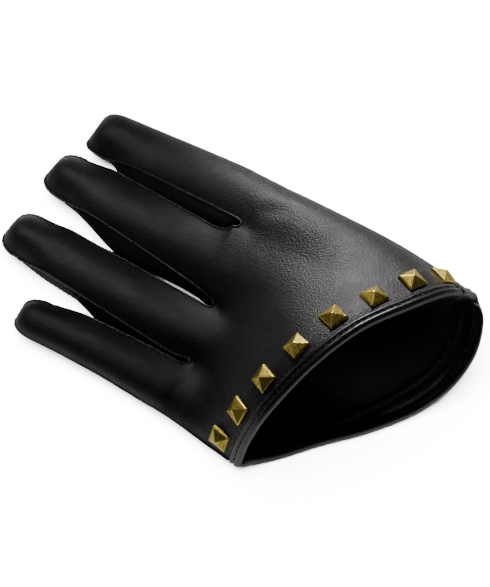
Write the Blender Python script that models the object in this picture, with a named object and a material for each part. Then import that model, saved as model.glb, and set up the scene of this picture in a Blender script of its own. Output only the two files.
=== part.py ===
"""Short left-hand leather glove with a bound, studded cuff.

The glove lies back up on a flat surface: palm down, fingers along +Y, thumb side towards +X, with
the thumb stall tucked under the palm.  The origin is the bottom centre of the bounding box.

Everything is cut from one outer skin.  The skin is a tube for the hand, lofted from the cuff edge
to the roots of the four finger stalls, and a tube for each stall.  A leather piece is the part of
the skin between its own seams, thickened inwards; the lining lies under it.  Each stall bends on a
fold line just past the crotches, where a notch leaves room for the leather to move.
"""
import math

import bmesh
import bpy
from mathutils import Matrix, Vector

MM = 0.001


def mm(x, y, z):
    """A point given in millimetres."""
    return Vector((x, y, z)) * MM


# ---- Driving dimensions -------------------------------------------------------------------------

# Thickness of the layers, measured inwards from the outer skin.
LEATHER = 1.0 * MM
LINING = 0.5 * MM
FACING = 0.5 * MM
LAYER_GAP = 0.35 * MM
SEAM_GAP = 0.4 * MM
BINDING_GAP = 1.0 * MM

# Cuff.
BINDING_WIDTH = 3.5 * MM
BINDING_PROUD = 0.7 * MM
FACING_EDGE = 10.0 * MM
JOINT_TAB = 0.6 * MM
STUD_SIZE = 7.0 * MM
STUD_RIM = 0.5 * MM
STUD_HEIGHT = 2.6 * MM
STUD_PITCH = 15.7 * MM
STUD_FROM_EDGE = 9.4 * MM
FIRST_STUD = 7.0 * MM
STUD_COUNT = 8

# The edge of the cuff: from the side seam over the back to the folded side, then back along the
# palm.  The back stands in an arch, and the palm lies flat until the tucked thumb lifts it.
CUFF_BACK = [
    mm(-43.9, -42.0, 4.6),
    mm(-38.9, -42.8, 17.0),
    mm(-29.0, -45.6, 30.5),
    mm(-11.5, -50.8, 42.0),
    mm(5.7, -56.4, 44.6),
    mm(20.7, -63.7, 43.2),
    mm(37.0, -71.3, 36.6),
    mm(47.0, -77.4, 24.6),
]
CUFF_PALM = [
    mm(47.0, -77.4, 24.6),
    mm(42.8, -82.8, 20.6),
    mm(33.8, -86.6, 15.4),
    mm(24.6, -86.6, 9.6),
    mm(15.9, -83.9, 4.4),
    mm(4.4, -78.2, 1.5),
    mm(-8.9, -69.4, 1.1),
    mm(-21.2, -59.4, 1.1),
    mm(-34.2, -49.8, 1.1),
    mm(-43.9, -42.0, 4.6),
]

# Finger stalls from the little finger to the index finger.  "mid" and "tip" are points of the
# centre line; widths and heights are half sizes at the root and near the tip.
FINGERS = ("little", "ring", "middle", "index")
STALLS = {
    "little": {"mid": (-37.8, 26.0), "tip": (-42.6, 55.6), "rest": 5.7,
               "width": (8.8, 7.2), "top": (6.6, 5.6), "bottom": (5.1, 5.4), "roll": 6},
    "ring": {"mid": (-16.0, 40.0), "tip": (-18.2, 82.4), "rest": 6.1,
             "width": (10.4, 8.9), "top": (7.4, 6.2), "bottom": (6.1, 5.9), "roll": 12},
    "middle": {"mid": (11.4, 43.0), "tip": (10.6, 85.0), "rest": 6.2,
               "width": (10.6, 9.2), "top": (7.6, 6.3), "bottom": (6.2, 6.0), "roll": 23},
    "index": {"mid": (36.5, 45.0), "tip": (34.6, 82.8), "rest": 6.3,
              "width": (11.0, 9.5), "top": (7.8, 6.4), "bottom": (6.3, 6.1), "roll": -3},
}

# Section of a stall: the height of its seams as a share of its lower half, the power of the curve
# from a crown to a seam, the round of the tip and the width left at its very end.
SEAM_LEVEL = 0.56
CROWN_POWER = 2.4
TIP_ROUND = 9.5 * MM
TIP_BLUNT = 0.42

# The gussets end before the tip, and narrow towards their end.
GUSSET_END = 9.0 * MM
GUSSET_TAPER = 16.0 * MM

# How far a stall's section takes to form past the crotch, the width of the web between two stalls,
# and the power of the drop from the root to the surface.
CROTCH_LENGTH = 10.0 * MM
CROTCH_WEB = 3.6 * MM
STALL_DROP = 1.7

# Crotches: the place of the gusset's fold, and the heights of its two edges.
CROTCHES = [
    {"at": (-24.5, -5.2), "top": 8.6, "bottom": 1.6},
    {"at": (-3.3, -0.1), "top": 12.8, "bottom": 5.2},
    {"at": (23.5, 6.9), "top": 24.2, "bottom": 16.4},
]
SIDE_SEAM_ROOT = mm(-43.6, -5.5, 5.4)
FOLD_ROOT = mm(46.8, 9.0, 19.0)

# How the cuff's length is shared out: where each stall's strip starts and ends.
CUFF_SHARES = ((0.0, 0.19), (0.21, 0.43), (0.45, 0.73), (0.75, 1.0))

# Slope of the hand's surface at the cuff: almost level, but rising along the folded side.
CUFF_SLOPE = -0.04
FOLD_SLOPE = 0.32
FOLD_SLOPE_START = 0.72

# Height of the palm: where it leaves the surface, where it is fully raised, how it curls up at the
# sides, and the part of the hand's length over which it holds.
PALM_FLAT_EDGE = -16.0 * MM
PALM_RAISED_EDGE = 12.0 * MM
PALM_RAISED = 13.0 * MM
PALM_SIDE_CURVE = 7.0 * MM
PALM_CURL = 2.4
PALM_START = 0.35
PALM_END = 0.72

# Fold lines of the stalls: how far past the root, how they tilt sideways so that bent fingers stay
# side by side, and how far each stall turns.
FOLD_DISTANCE = 9.0 * MM
FOLD_TILT = {"little": 4.4, "ring": 7.5, "middle": 7.0, "index": 7.0}
FLEX = math.radians(60)
EXTEND = math.radians(20)
FOLD_GAP = 0.5 * MM

# Thumb stall, lying under the palm; its mouth is round so that the stall can swing in it.
THUMB_PIVOT = (24.0, -42.0)
THUMB_PIVOT_HEIGHT = 6.0
THUMB_BEHIND = 12.0 * MM
THUMB_AHEAD = 46.0 * MM
THUMB_TURN = math.radians(4)
THUMB_WIDTH = 11.0 * MM
THUMB_TOP = (12.4, 9.0)
THUMB_MOUTH = 8.5 * MM
THUMB_MOUTH_MIDDLE = 12.4
THUMB_MOUTH_DEPTH = 14.0 * MM
THUMB_ROUND = 11.0 * MM
THUMB_EASE = 0.5 * MM
THUMB_FLATNESS = 0.7

# Limits at sharp points: how far a corner is drawn back from its seams, and how far a layer's
# corner moves inwards for its depth.
SHARPEST_MITRE = 0.15
LARGEST_SHELL_FACTOR = 1.4
WELD = 0.02 * MM

# Facets across one stall's back or palm strip, across a gusset, along the hand and round the thumb
# stall and its mouth.
STRIP_FACETS = 4
GUSSET_FACETS = 1
HAND_ROWS = 6
THUMB_FACETS = 12
MOUTH_FACETS = 20

# Rows of a stall: shares of the part between the fold and the tip, which starts a little before the
# round, and shares of the round.  The thumb stall has rows in both rounds and between them.
TIP_START = 1.7
BODY_ROWS = (0.28, 0.52, 0.76, 1.0)
TIP_ROWS = (1.0, 0.55, 0.2, 0.0)
THUMB_ROUND_ROWS = (0.0, 0.18, 0.5, 1.0)
THUMB_BODY_ROWS = (0.35, 0.7)

# Steps, as shares, over which a direction is measured: along a stall, across and along the hand.
STALL_STEP = 0.01
ACROSS_STEP = 0.15
ALONG_STEP = 0.06

COLORS = {
    "leather": ((0.012, 0.010, 0.012, 1.0), 0.42, 0.0),
    "gusset_leather": ((0.008, 0.007, 0.008, 1.0), 0.6, 0.0),
    "lining": ((0.010, 0.010, 0.011, 1.0), 0.9, 0.0),
    "binding": ((0.010, 0.009, 0.010, 1.0), 0.38, 0.0),
    "brass": ((0.36, 0.25, 0.10, 1.0), 0.35, 1.0),
}


# ---- Curves -------------------------------------------------------------------------------------

def smooth(x):
    """Ease from 0 to 1 as x goes from 0 to 1."""
    x = min(max(x, 0.0), 1.0)
    return x * x * (3.0 - 2.0 * x)


def mix(a, b, share):
    return a + (b - a) * share


def spline(points, steps=12):
    """A smooth curve through the points, as a dense list of points."""
    ends = [points[0] * 2 - points[1]] + points + [points[-1] * 2 - points[-2]]
    curve = []
    for before, start, end, after in zip(ends, ends[1:], ends[2:], ends[3:]):
        for step in range(steps):
            s = step / steps
            curve.append(0.5 * (2 * start + (end - before) * s
                                + (2 * before - 5 * start + 4 * end - after) * s ** 2
                                + (3 * start - before - 3 * end + after) * s ** 3))
    return curve + [points[-1].copy()]


def along(curve, share):
    """The point at a share of the curve's length."""
    lengths = [(b - a).length for a, b in zip(curve, curve[1:])]
    left = share * sum(lengths)
    for a, b, length in zip(curve, curve[1:], lengths):
        if left <= length:
            return a.lerp(b, left / length)
        left -= length
    return curve[-1].copy()


def hermite(start, end, start_dir, end_dir, v):
    """A cubic from start to end with the given slopes."""
    return (start * (2 * v ** 3 - 3 * v ** 2 + 1) + start_dir * (v ** 3 - 2 * v ** 2 + v)
            + end * (3 * v ** 2 - 2 * v ** 3) + end_dir * (v ** 3 - v ** 2))


# ---- Shape of one finger stall ------------------------------------------------------------------

class Stall:
    """One finger stall: its centre line, its section and its corners at the crotches."""

    def __init__(self, name):
        sizes = STALLS[name]
        self.name = name
        self.place = FINGERS.index(name)
        self.left_round = name == "little"
        self.right_round = name == "index"
        self.sizes = sizes
        self.left = self.corner(self.place - 1, SIDE_SEAM_ROOT, 1)
        self.right = self.corner(self.place, FOLD_ROOT, -1)
        self.root = (self.left[0] + self.left[1] + self.right[0] + self.right[1]) / 4
        self.mid = Vector((*sizes["mid"], 0)) * MM
        self.tip = Vector((*sizes["tip"], sizes["rest"])) * MM
        self.length = (self.tip - self.root).length

    @staticmethod
    def corner(crotch, side, towards):
        """Top and bottom point where the stall's edge starts at its root."""
        if 0 <= crotch < len(CROTCHES):
            where = CROTCHES[crotch]
            shift = Vector((CROTCH_WEB / 2 * towards, 0, 0))
            top, bottom = mm(*where["at"], where["top"]), mm(*where["at"], where["bottom"])
            return top + shift, bottom + shift
        return side.copy(), side.copy()

    def centre(self, t):
        start = self.root
        bend = 2 * self.mid - (start + self.tip) / 2
        point = start * (1 - t) ** 2 + bend * 2 * t * (1 - t) + self.tip * t ** 2
        point.z = self.tip.z + (start.z - self.tip.z) * max(1 - t, 0.0) ** STALL_DROP
        return point

    def axes(self, t):
        """Forward, right and up at a station."""
        t = min(max(t, 0.001), 0.98)
        forward = (self.centre(t + STALL_STEP) - self.centre(t - STALL_STEP)).normalized()
        level = Vector((forward.y, -forward.x, 0)).normalized()
        turn = math.radians(-self.sizes["roll"]) * (1 - t) ** 2
        right = (Matrix.Rotation(turn, 3, forward) @ level).normalized()
        return forward, right, right.cross(forward).normalized()

    def fold_axes(self):
        """Right and up at the fold line, with right along the line that the stall bends on."""
        forward = self.axes(FOLD_DISTANCE / self.length)[0]
        level = Vector((forward.y, -forward.x, 0)).normalized()
        tilt = math.radians(-FOLD_TILT[self.name])
        right = (Matrix.Rotation(tilt, 3, forward) @ level).normalized()
        return right, right.cross(forward).normalized()

    def tip_scale(self, t):
        """1 along the stall, falling to 0 round the tip."""
        left = max(1 - t, 0.0) * self.length / TIP_ROUND
        return 1.0 if left >= 1 else math.sqrt(1 - (1 - left) ** 2)

    def section(self, t):
        """The corners of the section and the crowns of its back and palm."""
        _, right, up = self.axes(t)
        scale = self.tip_scale(t)
        middle = self.centre(t)
        width = mix(*self.sizes["width"], t) * MM * (TIP_BLUNT + (1 - TIP_BLUNT) * scale)
        top = mix(*self.sizes["top"], t) * MM * scale
        bottom = mix(*self.sizes["bottom"], t) * MM * scale
        taper = smooth(((1 - t) * self.length - GUSSET_END) / GUSSET_TAPER)
        seam = SEAM_LEVEL * bottom * taper
        share = math.sin(min(1.0, t * self.length / CROTCH_LENGTH) * math.pi / 2)
        corners = []
        for sign, root, is_round in ((-1, self.left, self.left_round),
                                     (1, self.right, self.right_round)):
            side = middle + right * width * sign
            lift = 0.0 if is_round else seam
            corners.append(root[0].lerp(side + up * lift, share))
            corners.append(root[1].lerp(side - up * lift, share))
        base = (corners[0] + corners[1] + corners[2] + corners[3]) / 4
        return corners, base + up * top, base - up * bottom, up

    def half_arc(self, crown, corner, up, share, is_round):
        """From the crown (share 0) to a corner (share 1)."""
        rise = up * (corner - crown).dot(up)
        run = corner - crown - rise
        if is_round:
            angle = share * math.pi / 2
            return crown + run * math.sin(angle) + rise * (1 - math.cos(angle))
        return crown + run * share + rise * share ** CROWN_POWER

    def strip_point(self, t, s, on_back=True):
        """A point of the back or palm strip; s runs from the left edge to the right one."""
        corners, back_crown, palm_crown, up = self.section(t)
        crown = back_crown if on_back else palm_crown
        left = corners[0] if on_back else corners[1]
        right = corners[2] if on_back else corners[3]
        if s < 0.5:
            return self.half_arc(crown, left, up, 1 - 2 * s, self.left_round)
        return self.half_arc(crown, right, up, 2 * s - 1, self.right_round)

    def gusset_point(self, t, s, on_right):
        """A point of a side gusset; s runs from its top edge to its bottom one."""
        corners = self.section(t)[0]
        top, bottom = (corners[2], corners[3]) if on_right else (corners[0], corners[1])
        return top.lerp(bottom, s)


ALL_STALLS = [Stall(name) for name in FINGERS]


def stall_loop():
    """The points round a stall: (panel, s) from the left top edge, over the back and round."""
    loop = [("back", step / STRIP_FACETS) for step in range(STRIP_FACETS + 1)]
    loop += [("right", step / GUSSET_FACETS) for step in range(1, GUSSET_FACETS + 1)]
    loop += [("palm", 1 - step / STRIP_FACETS) for step in range(1, STRIP_FACETS + 1)]
    loop += [("left", 1 - step / GUSSET_FACETS) for step in range(1, GUSSET_FACETS + 1)]
    return loop


def stall_point(stall, t, panel, s):
    if panel in ("back", "palm"):
        return stall.strip_point(t, s, panel == "back")
    return stall.gusset_point(t, s, panel == "right")


def notch(stall, panel, s):
    """Half the width of the fold's notch at a place round the stall."""
    t = FOLD_DISTANCE / stall.length
    height = (stall_point(stall, t, panel, s) - stall.centre(t)).dot(stall.fold_axes()[1])
    angle = EXTEND if height > 0 else FLEX
    return (FOLD_GAP + abs(height) * math.tan(angle / 2)) / stall.length


def stall_stations(stall):
    """Distances from the root to the rows of the stall past its fold."""
    reach = stall.length
    body = [FOLD_DISTANCE + share * (reach - TIP_ROUND * TIP_START - FOLD_DISTANCE)
            for share in BODY_ROWS]
    return body + [reach - TIP_ROUND * share for share in TIP_ROWS]


# ---- Shape of the hand --------------------------------------------------------------------------

CUFF_CURVES = {True: spline(CUFF_BACK), False: spline(CUFF_PALM[::-1])}
SIDE_PLACE = (0, 0.0)
FOLD_PLACE = (len(FINGERS) - 1, 1.0)


def palm_height(x, side, fold):
    """Height of the palm: flat on the surface, lifted by the thumb, curling up at both sides."""
    height = PALM_RAISED * smooth((x - PALM_FLAT_EDGE) / (PALM_RAISED_EDGE - PALM_FLAT_EDGE))
    near_side = max(0.0, 1 - (x - side.x) / PALM_SIDE_CURVE)
    near_fold = max(0.0, 1 - (fold.x - x) / PALM_SIDE_CURVE)
    side_rise = (side.z - height) * near_side ** PALM_CURL
    return height + side_rise + (fold.z - height) * near_fold ** PALM_CURL


def hand_point(place, v, on_back):
    """A point of the hand: place is (stall, s) across it, v runs from the cuff edge to the roots."""
    on_back = on_back or place == SIDE_PLACE
    stall = ALL_STALLS[place[0]]
    share = mix(*CUFF_SHARES[place[0]], place[1])
    start = along(CUFF_CURVES[on_back], share)
    end = stall.strip_point(0.0, place[1], on_back)
    reach = (end - start).length
    rise = smooth((share - FOLD_SLOPE_START) / (1 - FOLD_SLOPE_START))
    out = Vector((0.0, 1.0, mix(CUFF_SLOPE, FOLD_SLOPE, rise)))
    point = hermite(start, end, out * reach, stall.axes(0.0)[0] * reach, v)
    if not on_back:
        side, fold = hand_point(SIDE_PLACE, v, True), hand_point(FOLD_PLACE, v, True)
        share = smooth(v / PALM_START) * (1 - smooth((v - PALM_END) / (1 - PALM_END)))
        point.z = mix(point.z, palm_height(point.x, side, fold), share)
    return point


def hand_share(place, on_back, distance):
    """The v of a place at a distance from the cuff edge."""
    start = hand_point(place, 0.0, on_back)
    return distance / (hand_point(place, 1.0, on_back) - start).length


# ---- The skin -----------------------------------------------------------------------------------

class Skin:
    """A mesh of labelled faces, welded along the seams, from which the pieces are cut."""

    def __init__(self):
        self.mesh = bmesh.new()
        self.layer = self.mesh.faces.layers.int.new("piece")
        self.labels = []

    def add_grid(self, rows, name_face):
        """Faces between rows of points; name_face(row, column) gives each face's label."""
        verts = [[self.mesh.verts.new(point) for point in row] for row in rows]
        for row, (low, high) in enumerate(zip(verts, verts[1:])):
            for column in range(len(low) - 1):
                corners = (low[column], low[column + 1], high[column + 1], high[column])
                label = name_face(row, column)
                if label not in self.labels:
                    self.labels.append(label)
                self.mesh.faces.new(corners)[self.layer] = self.labels.index(label)

    def finish(self):
        """Weld the seams, and split every face the same way for all layers."""
        bmesh.ops.remove_doubles(self.mesh, verts=self.mesh.verts, dist=WELD)
        bmesh.ops.triangulate(self.mesh, faces=self.mesh.faces, quad_method="FIXED")
        self.mesh.normal_update()
        self.factors = {vert: min(vert.calc_shell_factor(), LARGEST_SHELL_FACTOR)
                        for vert in self.mesh.verts}

    def label(self, face):
        return self.labels[face[self.layer]]

    def on_slit(self, vert):
        """Whether a vertex is on the side seam, where the trank's two edges meet."""
        sides = {self.label(face).rpartition("_")[2] for face in vert.link_faces}
        return vert.co.x < CROTCHES[0]["at"][0] * MM and {"back", "palm"} <= sides

    def cut(self, labels, outer, inner, gap=SEAM_GAP, slit=False):
        """A closed mesh of the labelled faces between two depths, drawn back from its seams."""
        chosen = [face for face in self.mesh.faces if self.label(face) in labels]
        open_verts = {vert for face in chosen for vert in face.verts if slit and self.on_slit(vert)}

        def corner(face, vert):
            return (vert, self.label(face).endswith("palm") if vert in open_verts else None)

        uses = {}
        for face in chosen:
            for loop in face.loops:
                start, end = corner(face, loop.vert), corner(face, loop.link_loop_next.vert)
                uses.setdefault(frozenset((start, end)), []).append((face, start, end))
        border = [users[0] for users in uses.values() if len(users) == 1]
        shift = border_shift(border, gap)
        mesh = bmesh.new()
        layers = []
        for depth in (outer, inner):
            layer = {}
            for face in chosen:
                for vert in face.verts:
                    key = corner(face, vert)
                    if key not in layer:
                        place = vert.co - vert.normal * depth * self.factors[vert]
                        layer[key] = mesh.verts.new(place + shift.get(key, Vector()))
            layers.append(layer)
        top, under = layers
        for face in chosen:
            mesh.faces.new([top[corner(face, vert)] for vert in face.verts])
            mesh.faces.new([under[corner(face, vert)] for vert in reversed(face.verts)])
        for _, start, end in border:
            mesh.faces.new((top[end], top[start], under[start]))
            mesh.faces.new((top[end], under[start], under[end]))
        return mesh


def border_shift(border, gap):
    """How far each corner on a border moves towards its piece, square to the seam's wall."""
    pulls = {}
    for _, start, end in border:
        line = (end[0].co - start[0].co).normalized()
        for key in (start, end):
            pulls.setdefault(key, []).append(key[0].normal.cross(line).normalized())
    shift = {}
    for key, each in pulls.items():
        mitre = max(1 + each[0].dot(each[-1]), SHARPEST_MITRE)
        shift[key] = (each[0] + each[-1]) / mitre * gap / 2
    return shift


def hand_rows():
    """Rows of the hand from the cuff edge to the roots, right round from the side seam."""
    places = [(stall.place, step / STRIP_FACETS)
              for stall in ALL_STALLS for step in range(STRIP_FACETS + 1)]
    columns = [(place, True) for place in places]
    columns += [(place, False) for place in reversed(places[:-1])]
    rows = []
    for distance in (0.0, BINDING_WIDTH, FACING_EDGE):
        rows.append([hand_point(place, hand_share(place, on_back, distance), on_back)
                     for place, on_back in columns])
    for row in range(1, HAND_ROWS + 1):
        line = []
        for place, on_back in columns:
            first = hand_share(place, on_back, FACING_EDGE)
            line.append(hand_point(place, mix(first, 1.0, row / HAND_ROWS), on_back))
        rows.append(line)
    return rows


def glove_skin():
    """The outer skin of the hand and its four stalls."""
    skin = Skin()
    rows = hand_rows()
    fold_column = len(rows[0]) // 2

    def hand_label(row, column):
        if row == 0:
            return "binding_joint" if column in (fold_column - 1, fold_column) else "binding"
        side = "back" if column < fold_column else "palm"
        return f"edge_{side}" if row == 1 else f"hand_{side}"

    skin.add_grid(rows, hand_label)
    loop = stall_loop()
    for stall in ALL_STALLS:
        fold = FOLD_DISTANCE / stall.length
        stations = [lambda place: 0.0,
                    lambda place: fold - notch(stall, *place),
                    lambda place: fold + notch(stall, *place)]
        stations += [lambda place, t=far / stall.length: t for far in stall_stations(stall)]
        rows = [[stall_point(stall, station(place), *place) for place in loop]
                for station in stations]

        def stall_label(row, column, name=stall.name):
            zone = ("root", "notch")[row] if row < 2 else "stall"
            return f"{name}_{zone}_{loop[column + 1][0]}"

        skin.add_grid(rows, stall_label)
    for left, right in zip(ALL_STALLS, ALL_STALLS[1:]):
        rows = [[left.right[0].lerp(left.right[1], step / GUSSET_FACETS),
                 right.left[0].lerp(right.left[1], step / GUSSET_FACETS)]
                for step in range(GUSSET_FACETS + 1)]
        skin.add_grid(rows, lambda row, column, name=left.name: f"{name}_web")
    skin.finish()
    return skin


def thumb_skin():
    """The outer skin of the thumb stall: a flat pouch with both ends closed."""
    pivot = Vector((*THUMB_PIVOT, 0)) * MM
    forward = Vector((-math.sin(THUMB_TURN), math.cos(THUMB_TURN), 0))
    right = Vector((forward.y, -forward.x, 0))
    reach = THUMB_BEHIND + THUMB_AHEAD
    stations = [THUMB_ROUND * end for end in THUMB_ROUND_ROWS]
    stations += [mix(THUMB_ROUND, reach - THUMB_ROUND, share) for share in THUMB_BODY_ROWS]
    stations += [reach - THUMB_ROUND * end for end in reversed(THUMB_ROUND_ROWS)]
    rows = []
    for far in stations:
        near_end = min(far, reach - far) / THUMB_ROUND
        scale = math.sqrt(1 - (1 - min(near_end, 1.0)) ** 2)
        width = THUMB_WIDTH * (TIP_BLUNT + (1 - TIP_BLUNT) * scale)
        half = mix(*THUMB_TOP, far / reach) * MM / 2
        middle = pivot + forward * (far - THUMB_BEHIND) + Vector((0, 0, half))
        row = []
        for side in range(THUMB_FACETS + 1):
            angle = 2 * math.pi * side / THUMB_FACETS
            across = -math.cos(angle)
            level = math.copysign(abs(math.sin(angle)) ** THUMB_FLATNESS, math.sin(angle))
            row.append(middle + right * width * across + Vector((0, 0, half * scale * level)))
        rows.append(row)
    skin = Skin()
    skin.add_grid(rows, lambda row, column: "thumb")
    skin.finish()
    return skin


# ---- Objects ------------------------------------------------------------------------------------

def make_material(name):
    color, roughness, metallic = COLORS[name]
    material = bpy.data.materials.new(name)
    material.use_nodes = True
    shader = material.node_tree.nodes["Principled BSDF"]
    shader.inputs["Base Color"].default_value = color
    shader.inputs["Roughness"].default_value = roughness
    shader.inputs["Metallic"].default_value = metallic
    return material


class Builder:
    """Makes the objects of the glove and puts them in their collections."""

    def __init__(self):
        self.parts = bpy.data.collections.new("short_studded_glove")
        self.cutters = bpy.data.collections.new("cutters")
        for collection in (self.parts, self.cutters):
            bpy.context.scene.collection.children.link(collection)

    def pivot(self, name, place):
        empty = bpy.data.objects.new(name, None)
        empty.location = place
        empty.empty_display_size = 0.01
        self.parts.objects.link(empty)
        return empty

    def piece(self, name, mesh, material, pivot=None):
        """An object from a mesh in glove coordinates; a moving one hangs on its pivot."""
        if pivot:
            bmesh.ops.translate(mesh, verts=mesh.verts, vec=-pivot.location)
        data = bpy.data.meshes.new(name)
        mesh.to_mesh(data)
        mesh.free()
        obj = bpy.data.objects.new(name, data)
        obj.parent = pivot
        data.materials.append(make_material(material))
        self.parts.objects.link(obj)
        return obj

    def mouth_cutter(self):
        """The round opening that joins the thumb stall to the palm."""
        bpy.ops.mesh.primitive_cylinder_add(vertices=MOUTH_FACETS, radius=THUMB_MOUTH,
                                            depth=THUMB_MOUTH_DEPTH,
                                            location=mm(*THUMB_PIVOT, THUMB_MOUTH_MIDDLE))
        cutter = bpy.context.object
        cutter.name = "thumb_mouth_cutter"
        cutter.hide_render = True
        cutter.display_type = "WIRE"
        for collection in list(cutter.users_collection):
            collection.objects.unlink(cutter)
        self.cutters.objects.link(cutter)
        return cutter


def cut_with(obj, cutter):
    modifier = obj.modifiers.new("mouth", "BOOLEAN")
    modifier.operation = "DIFFERENCE"
    modifier.solver = "EXACT"
    modifier.object = cutter


def under_leather(layer=0.0):
    """Depth of the lining's outer face, or of a layer further in."""
    return LEATHER + LAYER_GAP + layer


def build_hand(builder, skin, cutter):
    """The leather, lining and cuff trim that do not move."""
    roots = [f"{name}_root_{side}" for name in FINGERS for side in ("back", "palm")]
    gussets = [f"{name}_root_{side}" for name in FINGERS for side in ("left", "right")]
    gussets += [f"{name}_web" for name in FINGERS]
    body = ["edge_back", "edge_palm", "hand_back", "hand_palm"] + roots
    trank = builder.piece("trank_hand", skin.cut(body, 0.0, LEATHER, slit=True), "leather")
    cut_with(trank, cutter)
    lining = builder.piece("lining_hand", skin.cut(body + gussets, under_leather(),
                                                   under_leather(LINING)), "lining")
    cut_with(lining, cutter)
    facing = under_leather(LINING) + LAYER_GAP
    facing_mesh = skin.cut(["edge_back", "edge_palm"], facing, facing + FACING)
    builder.piece("cuff_facing", facing_mesh, "binding")
    wrap = facing + FACING + LAYER_GAP
    binding = skin.cut(["binding"], -BINDING_PROUD, wrap, gap=BINDING_GAP)
    builder.piece("cuff_binding", binding, "binding")
    joint = skin.cut(["binding_joint"], -BINDING_PROUD - JOINT_TAB, wrap, gap=BINDING_GAP)
    builder.piece("cuff_binding_joint", joint, "binding")
    for left, right in zip(FINGERS, FINGERS[1:]):
        labels = [f"{left}_root_right", f"{left}_web", f"{right}_root_left"]
        builder.piece(f"crotch_gusset_{left}_{right}", skin.cut(labels, 0.0, LEATHER),
                      "gusset_leather")


def build_stall(builder, skin, stall):
    """The leather strips, gussets and lining of one stall, hung on its fold line."""
    name = stall.name
    place = stall.centre(FOLD_DISTANCE / stall.length)
    pivot = builder.pivot(f"{name}_fold", place)
    panels = {"back": ["back"], "palm": ["palm"], "gusset_little_side": ["left"],
              "gusset_index_side": ["right"]}
    if stall.left_round:
        del panels["gusset_little_side"]
    if stall.right_round:
        del panels["gusset_index_side"], panels["palm"]
        panels["back"] = ["back", "palm"]
    for panel, sides in panels.items():
        labels = [f"{name}_stall_{side}" for side in sides]
        material = "gusset_leather" if "gusset" in panel else "leather"
        node = f"{name}_wrap" if len(sides) > 1 else f"{name}_{panel}"
        builder.piece(node, skin.cut(labels, 0.0, LEATHER), material, pivot)
    labels = [f"{name}_stall_{side}" for side in ("back", "right", "palm", "left")]
    lining = skin.cut(labels, under_leather(), under_leather(LINING))
    builder.piece(f"{name}_lining", lining, "lining", pivot)


def build_thumb(builder, cutter):
    """The thumb stall and its lining, hung on the upright axis of the mouth."""
    skin = thumb_skin()
    pivot = builder.pivot("thumb_swing", mm(*THUMB_PIVOT, THUMB_PIVOT_HEIGHT))
    leather = builder.piece("thumb_leather", skin.cut(["thumb"], 0.0, LEATHER), "leather", pivot)
    cut_with(leather, cutter)
    lining = skin.cut(["thumb"], under_leather(THUMB_EASE), under_leather(THUMB_EASE + LINING))
    cut_with(builder.piece("thumb_lining", lining, "lining", pivot), cutter)


def stud_mesh():
    """A square pyramid standing on a low rim."""
    mesh = bmesh.new()
    bmesh.ops.create_cube(mesh, size=1.0)
    bmesh.ops.scale(mesh, verts=mesh.verts, vec=(STUD_SIZE, STUD_SIZE, STUD_RIM))
    bmesh.ops.translate(mesh, verts=mesh.verts, vec=(0, 0, STUD_RIM / 2))
    top = [face for face in mesh.faces if face.normal.z > 0.9]
    bmesh.ops.poke(mesh, faces=top, offset=STUD_HEIGHT - STUD_RIM)
    return mesh


def build_studs(builder):
    """A row of studs that follows the cuff round the back."""
    curve = CUFF_CURVES[True]
    length = sum((b - a).length for a, b in zip(curve, curve[1:]))
    for number in range(STUD_COUNT):
        share = (FIRST_STUD + number * STUD_PITCH) / length
        stall = next(i for i, (_, last) in enumerate(CUFF_SHARES) if share <= last + 0.01)
        first, last = CUFF_SHARES[stall]
        place = (stall, (share - first) / (last - first))
        v = hand_share(place, True, STUD_FROM_EDGE)
        point = hand_point(place, v, True)
        beside = [hand_point((stall, place[1] + step), v, True)
                  for step in (-ACROSS_STEP, ACROSS_STEP)]
        side = beside[1] - beside[0]
        ahead = hand_point(place, v + ALONG_STEP, True) - hand_point(place, v - ALONG_STEP, True)
        side.normalize()
        normal = side.cross(ahead).normalized()
        stud = builder.piece(f"stud_{number + 1}", stud_mesh(), "brass")
        turn = Matrix((side, normal.cross(side), normal)).transposed()
        stud.matrix_world = Matrix.Translation(point + normal * LAYER_GAP) @ turn.to_4x4()


def main():
    for obj in list(bpy.data.objects):
        bpy.data.objects.remove(obj)
    builder = Builder()
    cutter = builder.mouth_cutter()
    skin = glove_skin()
    build_hand(builder, skin, cutter)
    for stall in ALL_STALLS:
        build_stall(builder, skin, stall)
    build_thumb(builder, cutter)
    build_studs(builder)


main()
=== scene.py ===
"""Looks of the short studded leather glove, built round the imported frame.

The visible leather is one fine skin with the CAD's outline: a tube for the hand, from the cuff edge
to the roots of the finger stalls, and a tube for each stall.  Folds are pressed into the skin, it is
cut into pieces along the real seams, and each piece is thickened inwards.  Raised seams, stitches,
the bound edge, the lining and the studs are added along it.
"""

import math

import bmesh
import bpy
import numpy as np
from mathutils import Matrix, Vector, kdtree, noise


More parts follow.
